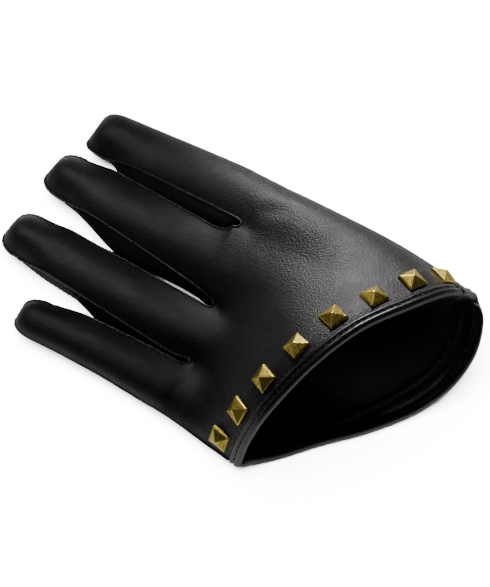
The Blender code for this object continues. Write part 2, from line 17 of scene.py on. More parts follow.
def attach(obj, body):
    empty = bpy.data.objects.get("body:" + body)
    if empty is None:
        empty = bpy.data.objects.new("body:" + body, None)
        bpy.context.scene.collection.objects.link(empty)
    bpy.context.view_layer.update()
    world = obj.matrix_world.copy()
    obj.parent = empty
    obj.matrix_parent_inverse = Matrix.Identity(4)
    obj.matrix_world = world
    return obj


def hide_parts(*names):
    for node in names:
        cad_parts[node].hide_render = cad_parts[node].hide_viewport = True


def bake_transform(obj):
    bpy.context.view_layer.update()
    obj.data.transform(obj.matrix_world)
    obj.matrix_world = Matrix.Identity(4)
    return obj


MM = 0.001
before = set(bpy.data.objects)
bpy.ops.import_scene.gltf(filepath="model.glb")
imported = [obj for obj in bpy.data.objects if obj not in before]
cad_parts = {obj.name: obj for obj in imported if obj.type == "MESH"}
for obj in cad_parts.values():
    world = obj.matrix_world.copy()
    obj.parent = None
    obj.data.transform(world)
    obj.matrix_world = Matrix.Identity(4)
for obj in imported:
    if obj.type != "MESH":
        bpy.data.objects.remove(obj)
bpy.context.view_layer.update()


def mm(*numbers):
    """A point given in millimetres."""
    return np.array(numbers, float) * MM


# ---- Outline of the skin, as the CAD has it -----------------------------------------------------

CUFF_BACK = [mm(-43.9, -42.0, 4.6), mm(-38.9, -42.8, 17.0), mm(-29.0, -45.6, 30.5),
             mm(-11.5, -50.8, 42.0), mm(5.7, -56.4, 44.6), mm(20.7, -63.7, 43.2),
             mm(37.0, -71.3, 36.6), mm(47.0, -77.4, 24.6)]
CUFF_PALM = [mm(47.0, -77.4, 24.6), mm(42.8, -82.8, 20.6), mm(33.8, -86.6, 15.4),
             mm(24.6, -86.6, 9.6), mm(15.9, -83.9, 4.4), mm(4.4, -78.2, 1.5),
             mm(-8.9, -69.4, 1.1), mm(-21.2, -59.4, 1.1), mm(-34.2, -49.8, 1.1),
             mm(-43.9, -42.0, 4.6)]
FINGERS = ("little", "ring", "middle", "index")
STALLS = {
    "little": {"mid": (-37.8, 26.0), "tip": (-42.6, 55.6), "rest": 5.7,
               "width": (8.8, 7.2), "top": (6.6, 5.6), "bottom": (5.1, 5.4), "roll": 6},
    "ring": {"mid": (-16.0, 40.0), "tip": (-18.2, 82.4), "rest": 6.1,
             "width": (10.4, 8.9), "top": (7.4, 6.2), "bottom": (6.1, 5.9), "roll": 12},
    "middle": {"mid": (11.4, 43.0), "tip": (10.6, 85.0), "rest": 6.2,
               "width": (10.6, 9.2), "top": (7.6, 6.3), "bottom": (6.2, 6.0), "roll": 23},
    "index": {"mid": (36.5, 45.0), "tip": (34.6, 82.8), "rest": 6.3,
              "width": (11.0, 9.5), "top": (7.8, 6.4), "bottom": (6.3, 6.1), "roll": -3},
}
CROTCHES = [
    {"at": (-24.5, -5.2), "top": 8.6, "bottom": 1.6},
    {"at": (-3.3, -0.1), "top": 12.8, "bottom": 5.2},
    {"at": (23.5, 6.9), "top": 24.2, "bottom": 16.4},
]
SIDE_SEAM_ROOT = mm(-43.6, -5.5, 5.4)
FOLD_ROOT = mm(46.8, 9.0, 19.0)

# Which share of the cuff leads to each stall, and how steeply the skin leaves the cuff.
CUFF_SHARES = ((0.0, 0.19), (0.21, 0.43), (0.45, 0.73), (0.75, 1.0))
CUFF_SLOPE = -0.04
FOLD_SLOPE = 0.32
FOLD_SLOPE_START = 0.72

# The palm is flat up to one line, raised by the thumb past another, and curls up at its sides; it
# has this height between two shares of the way from the cuff to the stalls.
PALM_FLAT_EDGE = -16.0 * MM
PALM_RAISED_EDGE = 12.0 * MM
PALM_RAISED = 13.0 * MM
PALM_SIDE_CURVE = 7.0 * MM
PALM_START = 0.35
PALM_END = 0.72

# On the back of the hand the stalls' ridges run out: how much lower the arch is than they are,
# where they start, and how far they spread, at least, and over how much of each side they fade.
RIDGE_CUT = 3.0 * MM
RIDGE_START = 0.35
RIDGE_SPREAD = 0.16
RIDGE_LEAST_SPREAD = 0.004
RIDGE_SIDES = 0.06

# Section of a stall: the seams' height as a share of its lower half, how far the tip's middle is
# from the CAD's in millimetres, the tip's round, the width left at its end and its squareness,
# how fast a stall drops to the surface and its strips to their seams, and where a slanted root
# has become square.
SEAM_LEVEL = 0.56
TIP_SHIFT = {"little": (0, 0), "ring": (0.5, -1.6), "middle": (0.4, -0.6), "index": (-0.9, -1.3)}
TIP_ROUND = 8.5 * MM
TIP_BLUNT = {"little": 0.42, "ring": 0.38, "middle": 0.42, "index": 0.66}
TIP_SQUARE = 2.2
STALL_DROP = 1.7
STRIP_DROP = 2.05
SLANT_END = 0.5

# Crotches: how far past one the section takes to form, the web's width and the slot's round end.
CROTCH_LENGTH = 10.0 * MM
CROTCH_WEB = 3.6 * MM
CROTCH_ROUND = 1.9 * MM

# Gussets end before the tip and taper towards their end.  They bulge into the gap between two
# stalls, a right side and a left one each by its share of the gap, less a free space.
GUSSET_END = 9.0 * MM
GUSSET_TAPER = 16.0 * MM
GUSSET_BULGE = 9.0 * MM
BULGE_SHARES = {True: 0.22, False: 0.78}
BULGE_POWER = 0.7
GUSSET_GAP = 0.3 * MM

# The bulge starts within this length of the root, goes down to the flat one where the walls of two
# stalls part, and is whole only where the gusset is this tall.
BULGE_START = 4.0 * MM
WALLS_PART = (0.18, 0.40, 0.46)
WALLS_EASE = 0.5
GUSSET_FLAT = 0.6 * MM
GUSSET_FULL = 4.0 * MM

# Layers, measured inwards from the skin.
LEATHER = 1.0 * MM
LINING_DEPTH = 1.35 * MM
LINING = 0.5 * MM
BINDING_WIDTH = 3.5 * MM
FACING_EDGE = 10.0 * MM

# Size of the fine mesh, and how far a point moves to its neighbours' middle in one round.
STRIP_COLUMNS = 26
GUSSET_COLUMNS = 8
WEB_COLUMNS = 6
EDGE_ROWS = 14
HAND_ROWS = 92
STALL_STEP = 0.8 * MM
TIP_STEPS = 14
TIP_SPARED_ROWS = 10
STATION_STEP = 0.01
WELD = 0.004 * MM
RELAX_SHARE = 0.5


# ---- Curves -------------------------------------------------------------------------------------

def smooth(x):
    """Ease from 0 to 1 as x goes from 0 to 1."""
    x = np.clip(x, 0.0, 1.0)
    return x * x * (3.0 - 2.0 * x)


def mix(a, b, share):
    return a + (b - a) * share


def unit(v):
    """The vector or vectors at length 1."""
    return v / np.maximum(np.linalg.norm(v, axis=-1, keepdims=True), 1e-12)


def spline(points, steps=24):
    """A smooth curve through the points, as a dense array of points."""
    ends = [points[0] * 2 - points[1]] + list(points) + [points[-1] * 2 - points[-2]]
    curve = []
    for before, start, end, after in zip(ends, ends[1:], ends[2:], ends[3:]):
        for step in range(steps):
            s = step / steps
            curve.append(0.5 * (2 * start + (end - before) * s
                                + (2 * before - 5 * start + 4 * end - after) * s ** 2
                                + (3 * start - before - 3 * end + after) * s ** 3))
    return np.array(curve + [points[-1]])


def lengths_along(curve):
    """Distance from the curve's start to each of its points."""
    steps = np.linalg.norm(np.diff(curve, axis=0), axis=1)
    return np.concatenate(([0.0], np.cumsum(steps)))


def along(curve, share):
    """The point at a share of the curve's length."""
    far = lengths_along(curve)
    return np.array([np.interp(share * far[-1], far, curve[:, axis]) for axis in range(3)])


def respace(curve, spacing, closed=False):
    """The same line with points an even distance apart."""
    if closed:
        curve = np.vstack((curve, curve[:1]))
    far = lengths_along(curve)
    count = max(2, round(far[-1] / spacing) + 1)
    at = np.linspace(0, far[-1], count)
    even = np.stack([np.interp(at, far, curve[:, axis]) for axis in range(curve.shape[1])], 1)
    return even[:-1] if closed else even


# ---- Shape of one finger stall ------------------------------------------------------------------

class Stall:
    """One finger stall: its centre line, its section and its corners at the crotches."""

    def __init__(self, name):
        sizes = STALLS[name]
        self.name = name
        self.place = FINGERS.index(name)
        self.left_round = name == "little"
        self.right_round = name == "index"
        self.sizes = sizes
        self.left = self.corner(self.place - 1, SIDE_SEAM_ROOT, 1)
        self.right = self.corner(self.place, FOLD_ROOT, -1)
        self.root = (self.left[0] + self.left[1] + self.right[0] + self.right[1]) / 4
        self.mid = mm(*sizes["mid"], 0)
        self.tip = mm(*sizes["tip"], sizes["rest"]) + mm(*TIP_SHIFT[name], 0)
        self.length = np.linalg.norm(self.tip - self.root)

    @staticmethod
    def corner(crotch, side, towards):
        """Top and bottom point where the stall's edge starts at its root."""
        if 0 <= crotch < len(CROTCHES):
            where = CROTCHES[crotch]
            shift = np.array([CROTCH_WEB / 2 * towards, 0, 0])
            return mm(*where["at"], where["top"]) + shift, mm(*where["at"], where["bottom"]) + shift
        return side.copy(), side.copy()

    def centre(self, t):
        bend = 2 * self.mid - (self.root + self.tip) / 2
        point = self.root * (1 - t) ** 2 + bend * 2 * t * (1 - t) + self.tip * t ** 2
        point[2] = self.tip[2] + (self.root[2] - self.tip[2]) * max(1 - t, 0.0) ** STALL_DROP
        return point

    def axes(self, t):
        """Forward, right and up at a station."""
        t = min(max(t, 0.001), 0.98)
        forward = unit(self.centre(t + STATION_STEP) - self.centre(t - STATION_STEP))
        level = Vector((forward[1], -forward[0], 0)).normalized()
        turn = math.radians(-self.sizes["roll"]) * (1 - t) ** 2
        right = unit(np.array(Matrix.Rotation(turn, 3, Vector(forward)) @ level))
        return forward, right, unit(np.cross(right, forward))

    def tip_scale(self, t):
        """1 along the stall, falling to 0 round the tip."""
        left = max(1 - t, 0.0) * self.length / TIP_ROUND
        return 1.0 if left >= 1 else (1 - (1 - left) ** TIP_SQUARE) ** (1 / TIP_SQUARE)

    def section(self, t):
        """The corners of the section, the crowns of its back and palm, and up and right."""
        _, right, up = self.axes(t)
        scale = self.tip_scale(t)
        middle = self.centre(t)
        width = mix(*self.sizes["width"], t) * MM * mix(TIP_BLUNT[self.name], 1, scale)
        top = mix(*self.sizes["top"], t) * MM * scale
        bottom = mix(*self.sizes["bottom"], t) * MM * scale
        taper = smooth(((1 - t) * self.length - GUSSET_END) / GUSSET_TAPER)
        seam = SEAM_LEVEL * bottom * taper
        share = math.sin(min(1.0, t * self.length / CROTCH_LENGTH) * math.pi / 2)
        corners = []
        forward = self.axes(0)[0]
        for sign, root, is_round in ((-1, self.left, self.left_round),
                                     (1, self.right, self.right_round)):
            ahead = np.dot((root[0] + root[1]) / 2 - self.root, forward)
            side = middle + right * width * sign + forward * ahead * (1 - smooth(t / SLANT_END))
            lift = 0.0 if is_round else seam
            corners.append(mix(root[0], side + up * lift, share))
            corners.append(mix(root[1], side - up * lift, share))
        base = sum(corners) / 4
        return corners, base + up * top, base - up * bottom, up, right

    @staticmethod
    def half_arc(crown, corner, up, share, is_round):
        """Points from the crown (share 0) to a corner (share 1)."""
        rise = up * np.dot(corner - crown, up)
        run = corner - crown - rise
        share = share[:, None]
        if is_round:
            angle = share * math.pi / 2
            return crown + run * np.sin(angle) + rise * (1 - np.cos(angle))
        return crown + run * share + rise * share ** STRIP_DROP

    def strip(self, t, s, on_back):
        """Points of the back or palm strip; s runs from the left edge to the right one."""
        corners, back_crown, palm_crown, up, _ = self.section(t)
        crown = back_crown if on_back else palm_crown
        left, right = (corners[0], corners[2]) if on_back else (corners[1], corners[3])
        leftwards = self.half_arc(crown, left, up, np.clip(1 - 2 * s, 0, 1), self.left_round)
        rightwards = self.half_arc(crown, right, up, np.clip(2 * s - 1, 0, 1), self.right_round)
        return np.where(s[:, None] < 0.5, leftwards, rightwards)

    def gusset(self, t, s, on_right):
        """Points of a side gusset from its top edge to its bottom one; it bulges outwards."""
        corners, _, _, _, right = self.section(t)
        top, bottom = (corners[2], corners[3]) if on_right else (corners[0], corners[1])
        gap = self.place if on_right else self.place - 1
        bulge = GUSSET_BULGE * (1 - smooth((t - WALLS_PART[gap]) / WALLS_EASE))
        bulge *= BULGE_SHARES[on_right]
        bulge = max(GUSSET_FLAT, min(bulge, self.room(t, on_right) * BULGE_SHARES[on_right]))
        bulge *= smooth(t * self.length / BULGE_START)
        bulge *= smooth(np.linalg.norm(top - bottom) / GUSSET_FULL)
        out = right * (1 if on_right else -1)
        arch = (4 * s * (1 - s))[:, None] ** BULGE_POWER
        return top + (bottom - top) * s[:, None] + out * bulge * arch

    def room(self, t, on_right):
        """The space between a side gusset and the next stall's."""
        other = ALL_STALLS[self.place + (1 if on_right else -1)]
        mine = self.section(t)[0][2 if on_right else 0]
        theirs = other.section(min(1.0, t * self.length / other.length))[0][0 if on_right else 2]
        return np.linalg.norm((theirs - mine)[:2]) - GUSSET_GAP

    def stations(self):
        """Shares of the length for the rows, closer together round the tip."""
        tip = TIP_ROUND / self.length
        body = np.linspace(0, 1 - tip, round(self.length / STALL_STEP) - TIP_SPARED_ROWS)
        angles = np.linspace(0, math.pi / 2, TIP_STEPS)[1:]
        return np.concatenate((body, 1 - tip * (1 - np.sin(angles))))


ALL_STALLS = [Stall(name) for name in FINGERS]


def crotch_point(left, right, w, s):
    """A point of the rounded end of the slot between two stalls; s runs from top to bottom."""
    point = mix(mix(left.right[0], left.right[1], s), mix(right.left[0], right.left[1], s), w)
    return point - np.array((0.0, CROTCH_ROUND * math.sqrt(max(0.0, 1 - (2 * w - 1) ** 2)), 0.0))


CUFF_CURVES = {True: spline(CUFF_BACK), False: spline(CUFF_PALM[::-1])}


# ---- Shape of the hand --------------------------------------------------------------------------

def hand_columns():
    """Columns across the hand: share of the cuff, share across a stall or None, the stalls on
    both sides, and the share between them."""
    columns = []
    for stall, (first, last) in zip(ALL_STALLS, CUFF_SHARES):
        for step in range(STRIP_COLUMNS + 1):
            s = step / STRIP_COLUMNS
            columns.append((mix(first, last, s), s, (stall, stall), 0.0))
        if stall.place < len(ALL_STALLS) - 1:
            following = ALL_STALLS[stall.place + 1]
            next_first = CUFF_SHARES[stall.place + 1][0]
            for step in range(1, WEB_COLUMNS):
                w = step / WEB_COLUMNS
                columns.append((mix(last, next_first, w), None, (stall, following), w))
    return columns


def column_points(column, on_back, v):
    """Points of one column of the hand at shares v of the way from the cuff to the roots."""
    share, s, (stall, following), w = column
    start = along(CUFF_CURVES[on_back], share)
    level = 0 if on_back else 1
    if s is None:
        end = crotch_point(stall, following, w, level)
        forward = mix(stall.axes(0)[0], following.axes(0)[0], w)
    else:
        end = stall.strip(0.0, np.array([s]), on_back)[0]
        forward = stall.axes(0)[0]
    reach = np.linalg.norm(end - start)
    rise = smooth((share - FOLD_SLOPE_START) / (1 - FOLD_SLOPE_START))
    out = np.array([0.0, 1.0, mix(CUFF_SLOPE, FOLD_SLOPE, rise)]) * reach
    v = v[:, None]
    return (start * (2 * v ** 3 - 3 * v ** 2 + 1) + out * (v ** 3 - 2 * v ** 2 + v)
            + end * (3 * v ** 2 - 2 * v ** 3) + forward * reach * (v ** 3 - v ** 2))


def column_rows(column, on_back):
    """Shares along a column: even distances in the cuff's edge, then even shares to the root."""
    ends = column_points(column, on_back, np.array([0.0, 1.0]))
    first = FACING_EDGE / np.linalg.norm(ends[1] - ends[0])
    edge = np.linspace(0, first, EDGE_ROWS + 1)
    return np.concatenate((edge, np.linspace(first, 1, HAND_ROWS + 1)[1:]))


def palm_height(x, side, fold):
    """Height of the palm: flat on the surface, lifted by the thumb, curling up at both sides."""
    height = PALM_RAISED * smooth((x - PALM_FLAT_EDGE) / (PALM_RAISED_EDGE - PALM_FLAT_EDGE))
    near_side = np.clip(1 - (x - side[:, 0]) / PALM_SIDE_CURVE, 0, None)
    near_fold = np.clip(1 - (fold[:, 0] - x) / PALM_SIDE_CURVE, 0, None)
    return (height + (side[:, 2] - height) * near_side ** STRIP_DROP
            + (fold[:, 2] - height) * near_fold ** STRIP_DROP)


def hand_grid(on_back):
    """Points of the hand's back or palm, rows from the cuff edge, columns from the side seam."""
    columns = hand_columns()
    grid = []
    for place, column in enumerate(columns):
        at_side = place == 0
        v = column_rows(column, on_back or at_side)
        points = column_points(column, on_back or at_side, v)
        if not on_back:
            edges = [column_points(columns[end], True, v) for end in (0, -1)]
            share = smooth(v / PALM_START) * (1 - smooth((v - PALM_END) / (1 - PALM_END)))
            if not at_side:
                points[:, 2] = mix(points[:, 2], palm_height(points[:, 0], *edges), share)
        grid.append(points)
    grid = np.array(grid).transpose(1, 0, 2)
    if on_back:
        calm_ridges(grid, [column[0] for column in columns])
    return grid


def calm_ridges(grid, shares):
    """Let the stalls' ridges run out on the back of the hand, into one arch."""
    roots = grid[-1, :, 2]
    shares = np.array(shares)
    stops = [0.0] + [sum(ends) / 2 for ends in CUFF_SHARES] + [1.0]
    levels = [roots[0]] + [roots[(shares >= first) & (shares <= last)].max() - RIDGE_CUT
                           for first, last in CUFF_SHARES] + [roots[-1]]
    arch = spline([np.array((stop, level)) for stop, level in zip(stops, levels)])
    ridges = roots - np.interp(shares, arch[:, 0], arch[:, 1])
    reach = lengths_along(grid[:, len(shares) // 2])
    v = reach / reach[-1]
    carried = 3 * v ** 2 - 2 * v ** 3
    wanted = smooth((v - RIDGE_START) / (1 - RIDGE_START))
    apart = shares[:, None] - shares
    for row in range(len(grid) - 1):
        spread = RIDGE_SPREAD * (1 - v[row]) + RIDGE_LEAST_SPREAD
        weights = np.exp(-(apart / spread) ** 2)
        softened = weights @ ridges / weights.sum(1)
        ends = smooth(np.minimum(shares, 1 - shares) / RIDGE_SIDES)
        grid[row, :, 2] += (wanted[row] * softened - carried[row] * ridges) * ends


# ---- The skin -----------------------------------------------------------------------------------

class Skin:
    """A welded mesh of named grids; each face knows its grid."""

    def __init__(self):
        self.grids = {}
        self.names = []
        self.points = np.zeros((0, 3))
        self.faces = np.zeros((0, 4), int)
        self.owner = np.zeros(0, int)

    def add(self, name, grid):
        """A grid of points whose rows go forward and columns to the right, seen from outside."""
        rows, columns = grid.shape[:2]
        ids = np.arange(rows * columns).reshape(rows, columns) + len(self.points)
        self.points = np.vstack((self.points, grid.reshape(-1, 3)))
        quads = ids_to_quads(ids)
        self.faces = np.vstack((self.faces, quads))
        self.owner = np.concatenate((self.owner, np.full(len(quads), len(self.names))))
        self.grids[name] = ids
        self.names.append(name)

    def weld(self):
        """Join points in the same place, and drop faces without area."""
        tree = kdtree.KDTree(len(self.points))
        for index, point in enumerate(self.points):
            tree.insert(point, index)
        tree.balance()
        new = np.full(len(self.points), -1)
        kept = []
        for index, point in enumerate(self.points):
            if new[index] < 0:
                for _, other, _ in tree.find_range(point, WELD):
                    if new[other] < 0:
                        new[other] = len(kept)
                kept.append(point)
        self.points = np.array(kept)
        self.faces = new[self.faces]
        self.grids = {name: new[ids] for name, ids in self.grids.items()}

    def faces_of(self, names):
        wanted = [self.names.index(name) for name in names]
        return self.faces[np.isin(self.owner, wanted)]

    def normals(self, faces):
        """Normals of the points, weighted by the areas of the given faces."""
        corners = self.points[faces]
        across = np.cross(corners[:, 2] - corners[:, 0], corners[:, 3] - corners[:, 1])
        total = np.zeros_like(self.points)
        for corner in range(4):
            np.add.at(total, faces[:, corner], across)
        return unit(total)


def ids_to_quads(ids):
    """Faces between the rows and columns of a grid of point numbers."""
    quads = np.stack((ids[:-1, :-1], ids[:-1, 1:], ids[1:, 1:], ids[1:, :-1]), -1)
    return quads.reshape(-1, 4)


def thin_out(ids, step=2):
    """Every step-th row and column of a grid, and the last ones."""
    rows = sorted(set(range(0, ids.shape[0], step)) | {ids.shape[0] - 1})
    columns = sorted(set(range(0, ids.shape[1], step)) | {ids.shape[1] - 1})
    return ids[np.ix_(rows, columns)]


def make_skin():
    """The outer skin of the hand and its four stalls."""
    skin = Skin()
    skin.add("hand_back", hand_grid(True))
    skin.add("hand_palm", hand_grid(False)[:, ::-1])
    s = np.linspace(0, 1, STRIP_COLUMNS + 1)
    g = np.linspace(0, 1, GUSSET_COLUMNS + 1)
    for stall in ALL_STALLS:
        stations = stall.stations()
        skin.add(f"{stall.name}_back", np.array([stall.strip(t, s, True) for t in stations]))
        skin.add(f"{stall.name}_palm", np.array([stall.strip(t, s, False)[::-1] for t in stations]))
        if not stall.right_round:
            skin.add(f"{stall.name}_right", np.array([stall.gusset(t, g, True) for t in stations]))
        if not stall.left_round:
            skin.add(f"{stall.name}_left",
                     np.array([stall.gusset(t, g, False)[::-1] for t in stations]))
    for left, right in zip(ALL_STALLS, ALL_STALLS[1:]):
        web = [crotch_point(left, right, w, s)
               for w in np.linspace(0, 1, WEB_COLUMNS + 1) for s in g]
        web = np.array(web).reshape(WEB_COLUMNS + 1, GUSSET_COLUMNS + 1, 3)
        skin.add(f"{left.name}_web", web.transpose(1, 0, 2))
    skin.weld()
    return skin


def relax(skin, faces, ids, rounds):
    """Even out the surface at some points, leaving the others where they are."""
    edges = np.concatenate([faces[:, [a, (a + 1) % 4]] for a in range(4)])
    edges = np.unique(np.sort(edges, axis=1), axis=0)
    edges = edges[edges[:, 0] != edges[:, 1]]
    count = np.zeros(len(skin.points))
    np.add.at(count, edges.ravel(), 1)
    weight = np.zeros(len(skin.points))
    weight[ids] = RELAX_SHARE
    for _ in range(rounds):
        total = np.zeros_like(skin.points)
        np.add.at(total, edges[:, 0], skin.points[edges[:, 1]])
        np.add.at(total, edges[:, 1], skin.points[edges[:, 0]])
        mean = total / np.maximum(count, 1)[:, None]
        skin.points += (mean - skin.points) * weight[:, None]


# ---- Relief: soft folds and small wrinkles ------------------------------------------------------

# Each kind of wrinkle: size along x, y and z in millimetres, seed, and height.
WRINKLES = [((15, 28, 18), 3.1, 0.22 * MM), ((5.0, 9.0, 6.0), 9.7, 0.045 * MM)]
WRINKLE_DETAIL = 2

# Folds fade towards their ends and widen from start to end.
FOLD_ENDS = (0.02, 0.98)
FOLD_FADE = 0.7
FOLD_WIDENS = (0.7, 1.2)

# The relief grows from the binding on; past the cuff's rows it has this least share of its height.
RELIEF_FULL = FACING_EDGE * 1.6
RELIEF_LEAST = 0.6
RELIEF_ROWS = (0.35, 4)

# Folds belong to the back: how far a point may face down, and the share over which they fade.
FOLD_TURN, FOLD_TURN_EASE = 0.2, 0.6
LOWEST_SKIN = 0.05 * MM


def fold(points, start, end, width, height):
    """Height of one soft fold along a line seen from above; negative heights are valleys."""
    start, end = np.array(start) * MM, np.array(end) * MM
    line = end - start
    share = np.clip((points[:, :2] - start) @ line / (line @ line), 0, 1)
    apart = points[:, :2] - start - share[:, None] * line
    ease = np.sin(np.clip(share, *FOLD_ENDS) * math.pi) ** FOLD_FADE
    width = width * MM * mix(*FOLD_WIDENS, share)
    return height * MM * ease * np.exp(-(apart ** 2).sum(1) / width ** 2)


# Folds on the back: start, end, half width and height in millimetres.
BACK_FOLDS = [
    ((30.0, 3.0), (36.0, -10.0), 3.8, -0.75),
    ((1.0, -4.0), (4.0, -22.0), 4.5, -0.4),
    ((-8.0, -1.0), (-11.0, -12.0), 4.5, 0.4),
    ((-3.0, -26.0), (-16.0, -40.0), 6.5, -0.3),
    ((28.0, -18.0), (22.0, -44.0), 9.0, -0.25),
]


def turbulence(points, scale, seed, detail=3):
    """Smooth noise of about -1 to 1 at the points; scale is in millimetres along x, y and z."""
    spots = points / (np.array(scale) * MM) + seed
    return np.array([noise.fractal(Vector(spot), 1.0, 2.0, detail) for spot in spots])


def press_relief(skin):
    """Push folds and wrinkles into the skin, less near the cuff."""
    everything = skin.normals(skin.faces)
    points = skin.points.copy()
    from_cuff = np.full(len(points), 1.0)
    for name in ("hand_back", "hand_palm"):
        ids = skin.grids[name]
        distance = np.linspace(0, 1, EDGE_ROWS + 1) * FACING_EDGE
        rows = np.concatenate((distance, np.full(HAND_ROWS, FACING_EDGE * 2)))
        ease = smooth((rows - BINDING_WIDTH) / (RELIEF_FULL - BINDING_WIDTH))
        grown = smooth(np.linspace(*RELIEF_ROWS, HAND_ROWS))
        ease[EDGE_ROWS + 1:] = grown * (1 - RELIEF_LEAST) + RELIEF_LEAST
        from_cuff[ids] = np.minimum(from_cuff[ids], ease[:, None])
    backs = np.unique(skin.faces_of([n for n in skin.names if n.endswith("back")]))
    on_back = np.zeros(len(points))
    on_back[backs] = 1
    on_back *= smooth((everything[:, 2] + FOLD_TURN) / FOLD_TURN_EASE)
    height = np.zeros(len(points))
    for start, end, width, rise in BACK_FOLDS:
        height += fold(points, start, end, width, rise) * on_back
    for size, seed, rise in WRINKLES:
        height += turbulence(points, size, seed, WRINKLE_DETAIL) * rise
    skin.points = points + everything * (height * from_cuff)[:, None]
    skin.points[:, 2] = np.maximum(skin.points[:, 2], LOWEST_SKIN)


# ---- Meshes and objects -------------------------------------------------------------------------

def add_object(name, points, faces, loop_normals=None):
    """A mesh object from arrays; faces is a list of index lists."""
    data = bpy.data.meshes.new(name)
    data.from_pydata([tuple(point) for point in points], [], [list(face) for face in faces])
    data.validate()
    data.shade_smooth()
    if loop_normals is not None and len(loop_normals) == len(data.loops):
        data.normals_split_custom_set([tuple(normal) for normal in loop_normals])
    obj = bpy.data.objects.new(name, data)
    bpy.context.scene.collection.objects.link(obj)
    return obj


def tidy_faces(faces):
    """Faces without repeated corners; a quad with one repeated corner becomes a triangle."""
    kept = []
    for face in faces:
        corners = []
        for corner in face:
            if corner not in corners:
                corners.append(int(corner))
        if len(corners) > 2:
            kept.append(corners)
    return kept


def shell(name, points, faces, normals, outer, inner):
    """A closed solid between two depths under a surface, with the surface's own normals."""
    faces = tidy_faces(faces)
    used = sorted({corner for face in faces for corner in face})
    place = {old: new for new, old in enumerate(used)}
    top = points[used] - normals[used] * outer
    under = points[used] - normals[used] * inner
    count = len(used)
    all_points = np.vstack((top, under))
    all_faces = []
    loops = []
    edges = {}
    for face in faces:
        local = [place[corner] for corner in face]
        all_faces.append(local)
        loops += [normals[corner] for corner in face]
        all_faces.append([corner + count for corner in reversed(local)])
        loops += [-normals[corner] for corner in reversed(face)]
        for a, b in zip(local, local[1:] + local[:1]):
            edges[(a, b)] = (b, a) in edges
            if (b, a) in edges:
                edges[(b, a)] = True
    for (a, b), shared in edges.items():
        if not shared:
            quad = [b, a, a + count, b + count]
            wall = np.cross(all_points[quad[1]] - all_points[quad[0]],
                            all_points[quad[3]] - all_points[quad[0]])
            all_faces.append(quad)
            loops += [unit(wall)] * 4
    return add_object(name, all_points, all_faces, loops)


def tube_along(line, ups, profile, closed=False):
    """Points and faces of a profile swept along a line; profile holds (sideways, up) offsets."""
    ahead = np.roll(line, -1, 0) - np.roll(line, 1, 0)
    if not closed:
        ahead[0], ahead[-1] = line[1] - line[0], line[-1] - line[-2]
    ahead = unit(ahead)
    side = unit(np.cross(ahead, ups))
    ups = unit(np.cross(side, ahead))
    profile = np.array(profile)
    if profile.ndim == 2:
        profile = np.repeat(profile[None], len(line), 0)
    points = (line[:, None] + side[:, None] * profile[:, :, :1] + ups[:, None] * profile[:, :, 1:])
    return grid_faces(points, closed)


def grid_faces(points, closed):
    """Flat list of points and the faces of a grid that closes across, and along if asked."""
    rows, columns = points.shape[:2]
    ids = np.arange(rows * columns).reshape(rows, columns)
    following = np.roll(ids, -1, 0) if closed else ids[1:]
    current = ids if closed else ids[:-1]
    faces = np.stack((current, np.roll(current, -1, 1), np.roll(following, -1, 1), following), -1)
    faces = faces.reshape(-1, 4).tolist()
    if not closed:
        faces.append(ids[0][::-1].tolist())
        faces.append(ids[-1].tolist())
    return points.reshape(-1, 3), faces


def join(parts):
    """One list of points and faces from several."""
    points, faces = [], []
    count = 0
    for part_points, part_faces in parts:
        points.append(part_points)
        faces += [[corner + count for corner in face] for face in part_faces]
        count += len(part_points)
    return np.vstack(points), faces


def round_profile(width, height, count, lift=0.0):
    """An oval outline."""
    angles = np.arange(count) * 2 * math.pi / count
    return np.stack((np.cos(angles) * width / 2, np.sin(angles) * height / 2 + lift), 1)


THREAD_RADIUS = 0.17 * MM
THREAD_SIDES = 6

# One stitch: shares of its length, with its height and thickness there in thread radii.
STITCH_SHARES = np.array([0.0, 0.16, 0.5, 0.84, 1.0])
STITCH_HEIGHTS = np.array([-1.0, 0.35, 0.7, 0.35, -1.0])
STITCH_THICKNESS = np.array([0.55, 0.95, 1.0, 0.95, 0.55])


def stitches(line, ups, pitch, length):
    """A row of short threads that dip into the leather at both ends."""
    far = lengths_along(line)
    outline = round_profile(2 * THREAD_RADIUS, 2 * THREAD_RADIUS, THREAD_SIDES)
    profile = outline[None] * STITCH_THICKNESS[:, None, None]
    heights = STITCH_HEIGHTS[:, None] * THREAD_RADIUS
    parts = []
    for start in np.arange(pitch / 2, far[-1] - length, pitch):
        at = start + STITCH_SHARES * length
        thread = np.stack([np.interp(at, far, line[:, axis]) for axis in range(3)], 1)
        up = unit(np.stack([np.interp(at, far, ups[:, axis]) for axis in range(3)], 1))
        parts.append(tube_along(thread + up * heights, up, profile))
    return join(parts)


# ---- Materials ----------------------------------------------------------------------------------

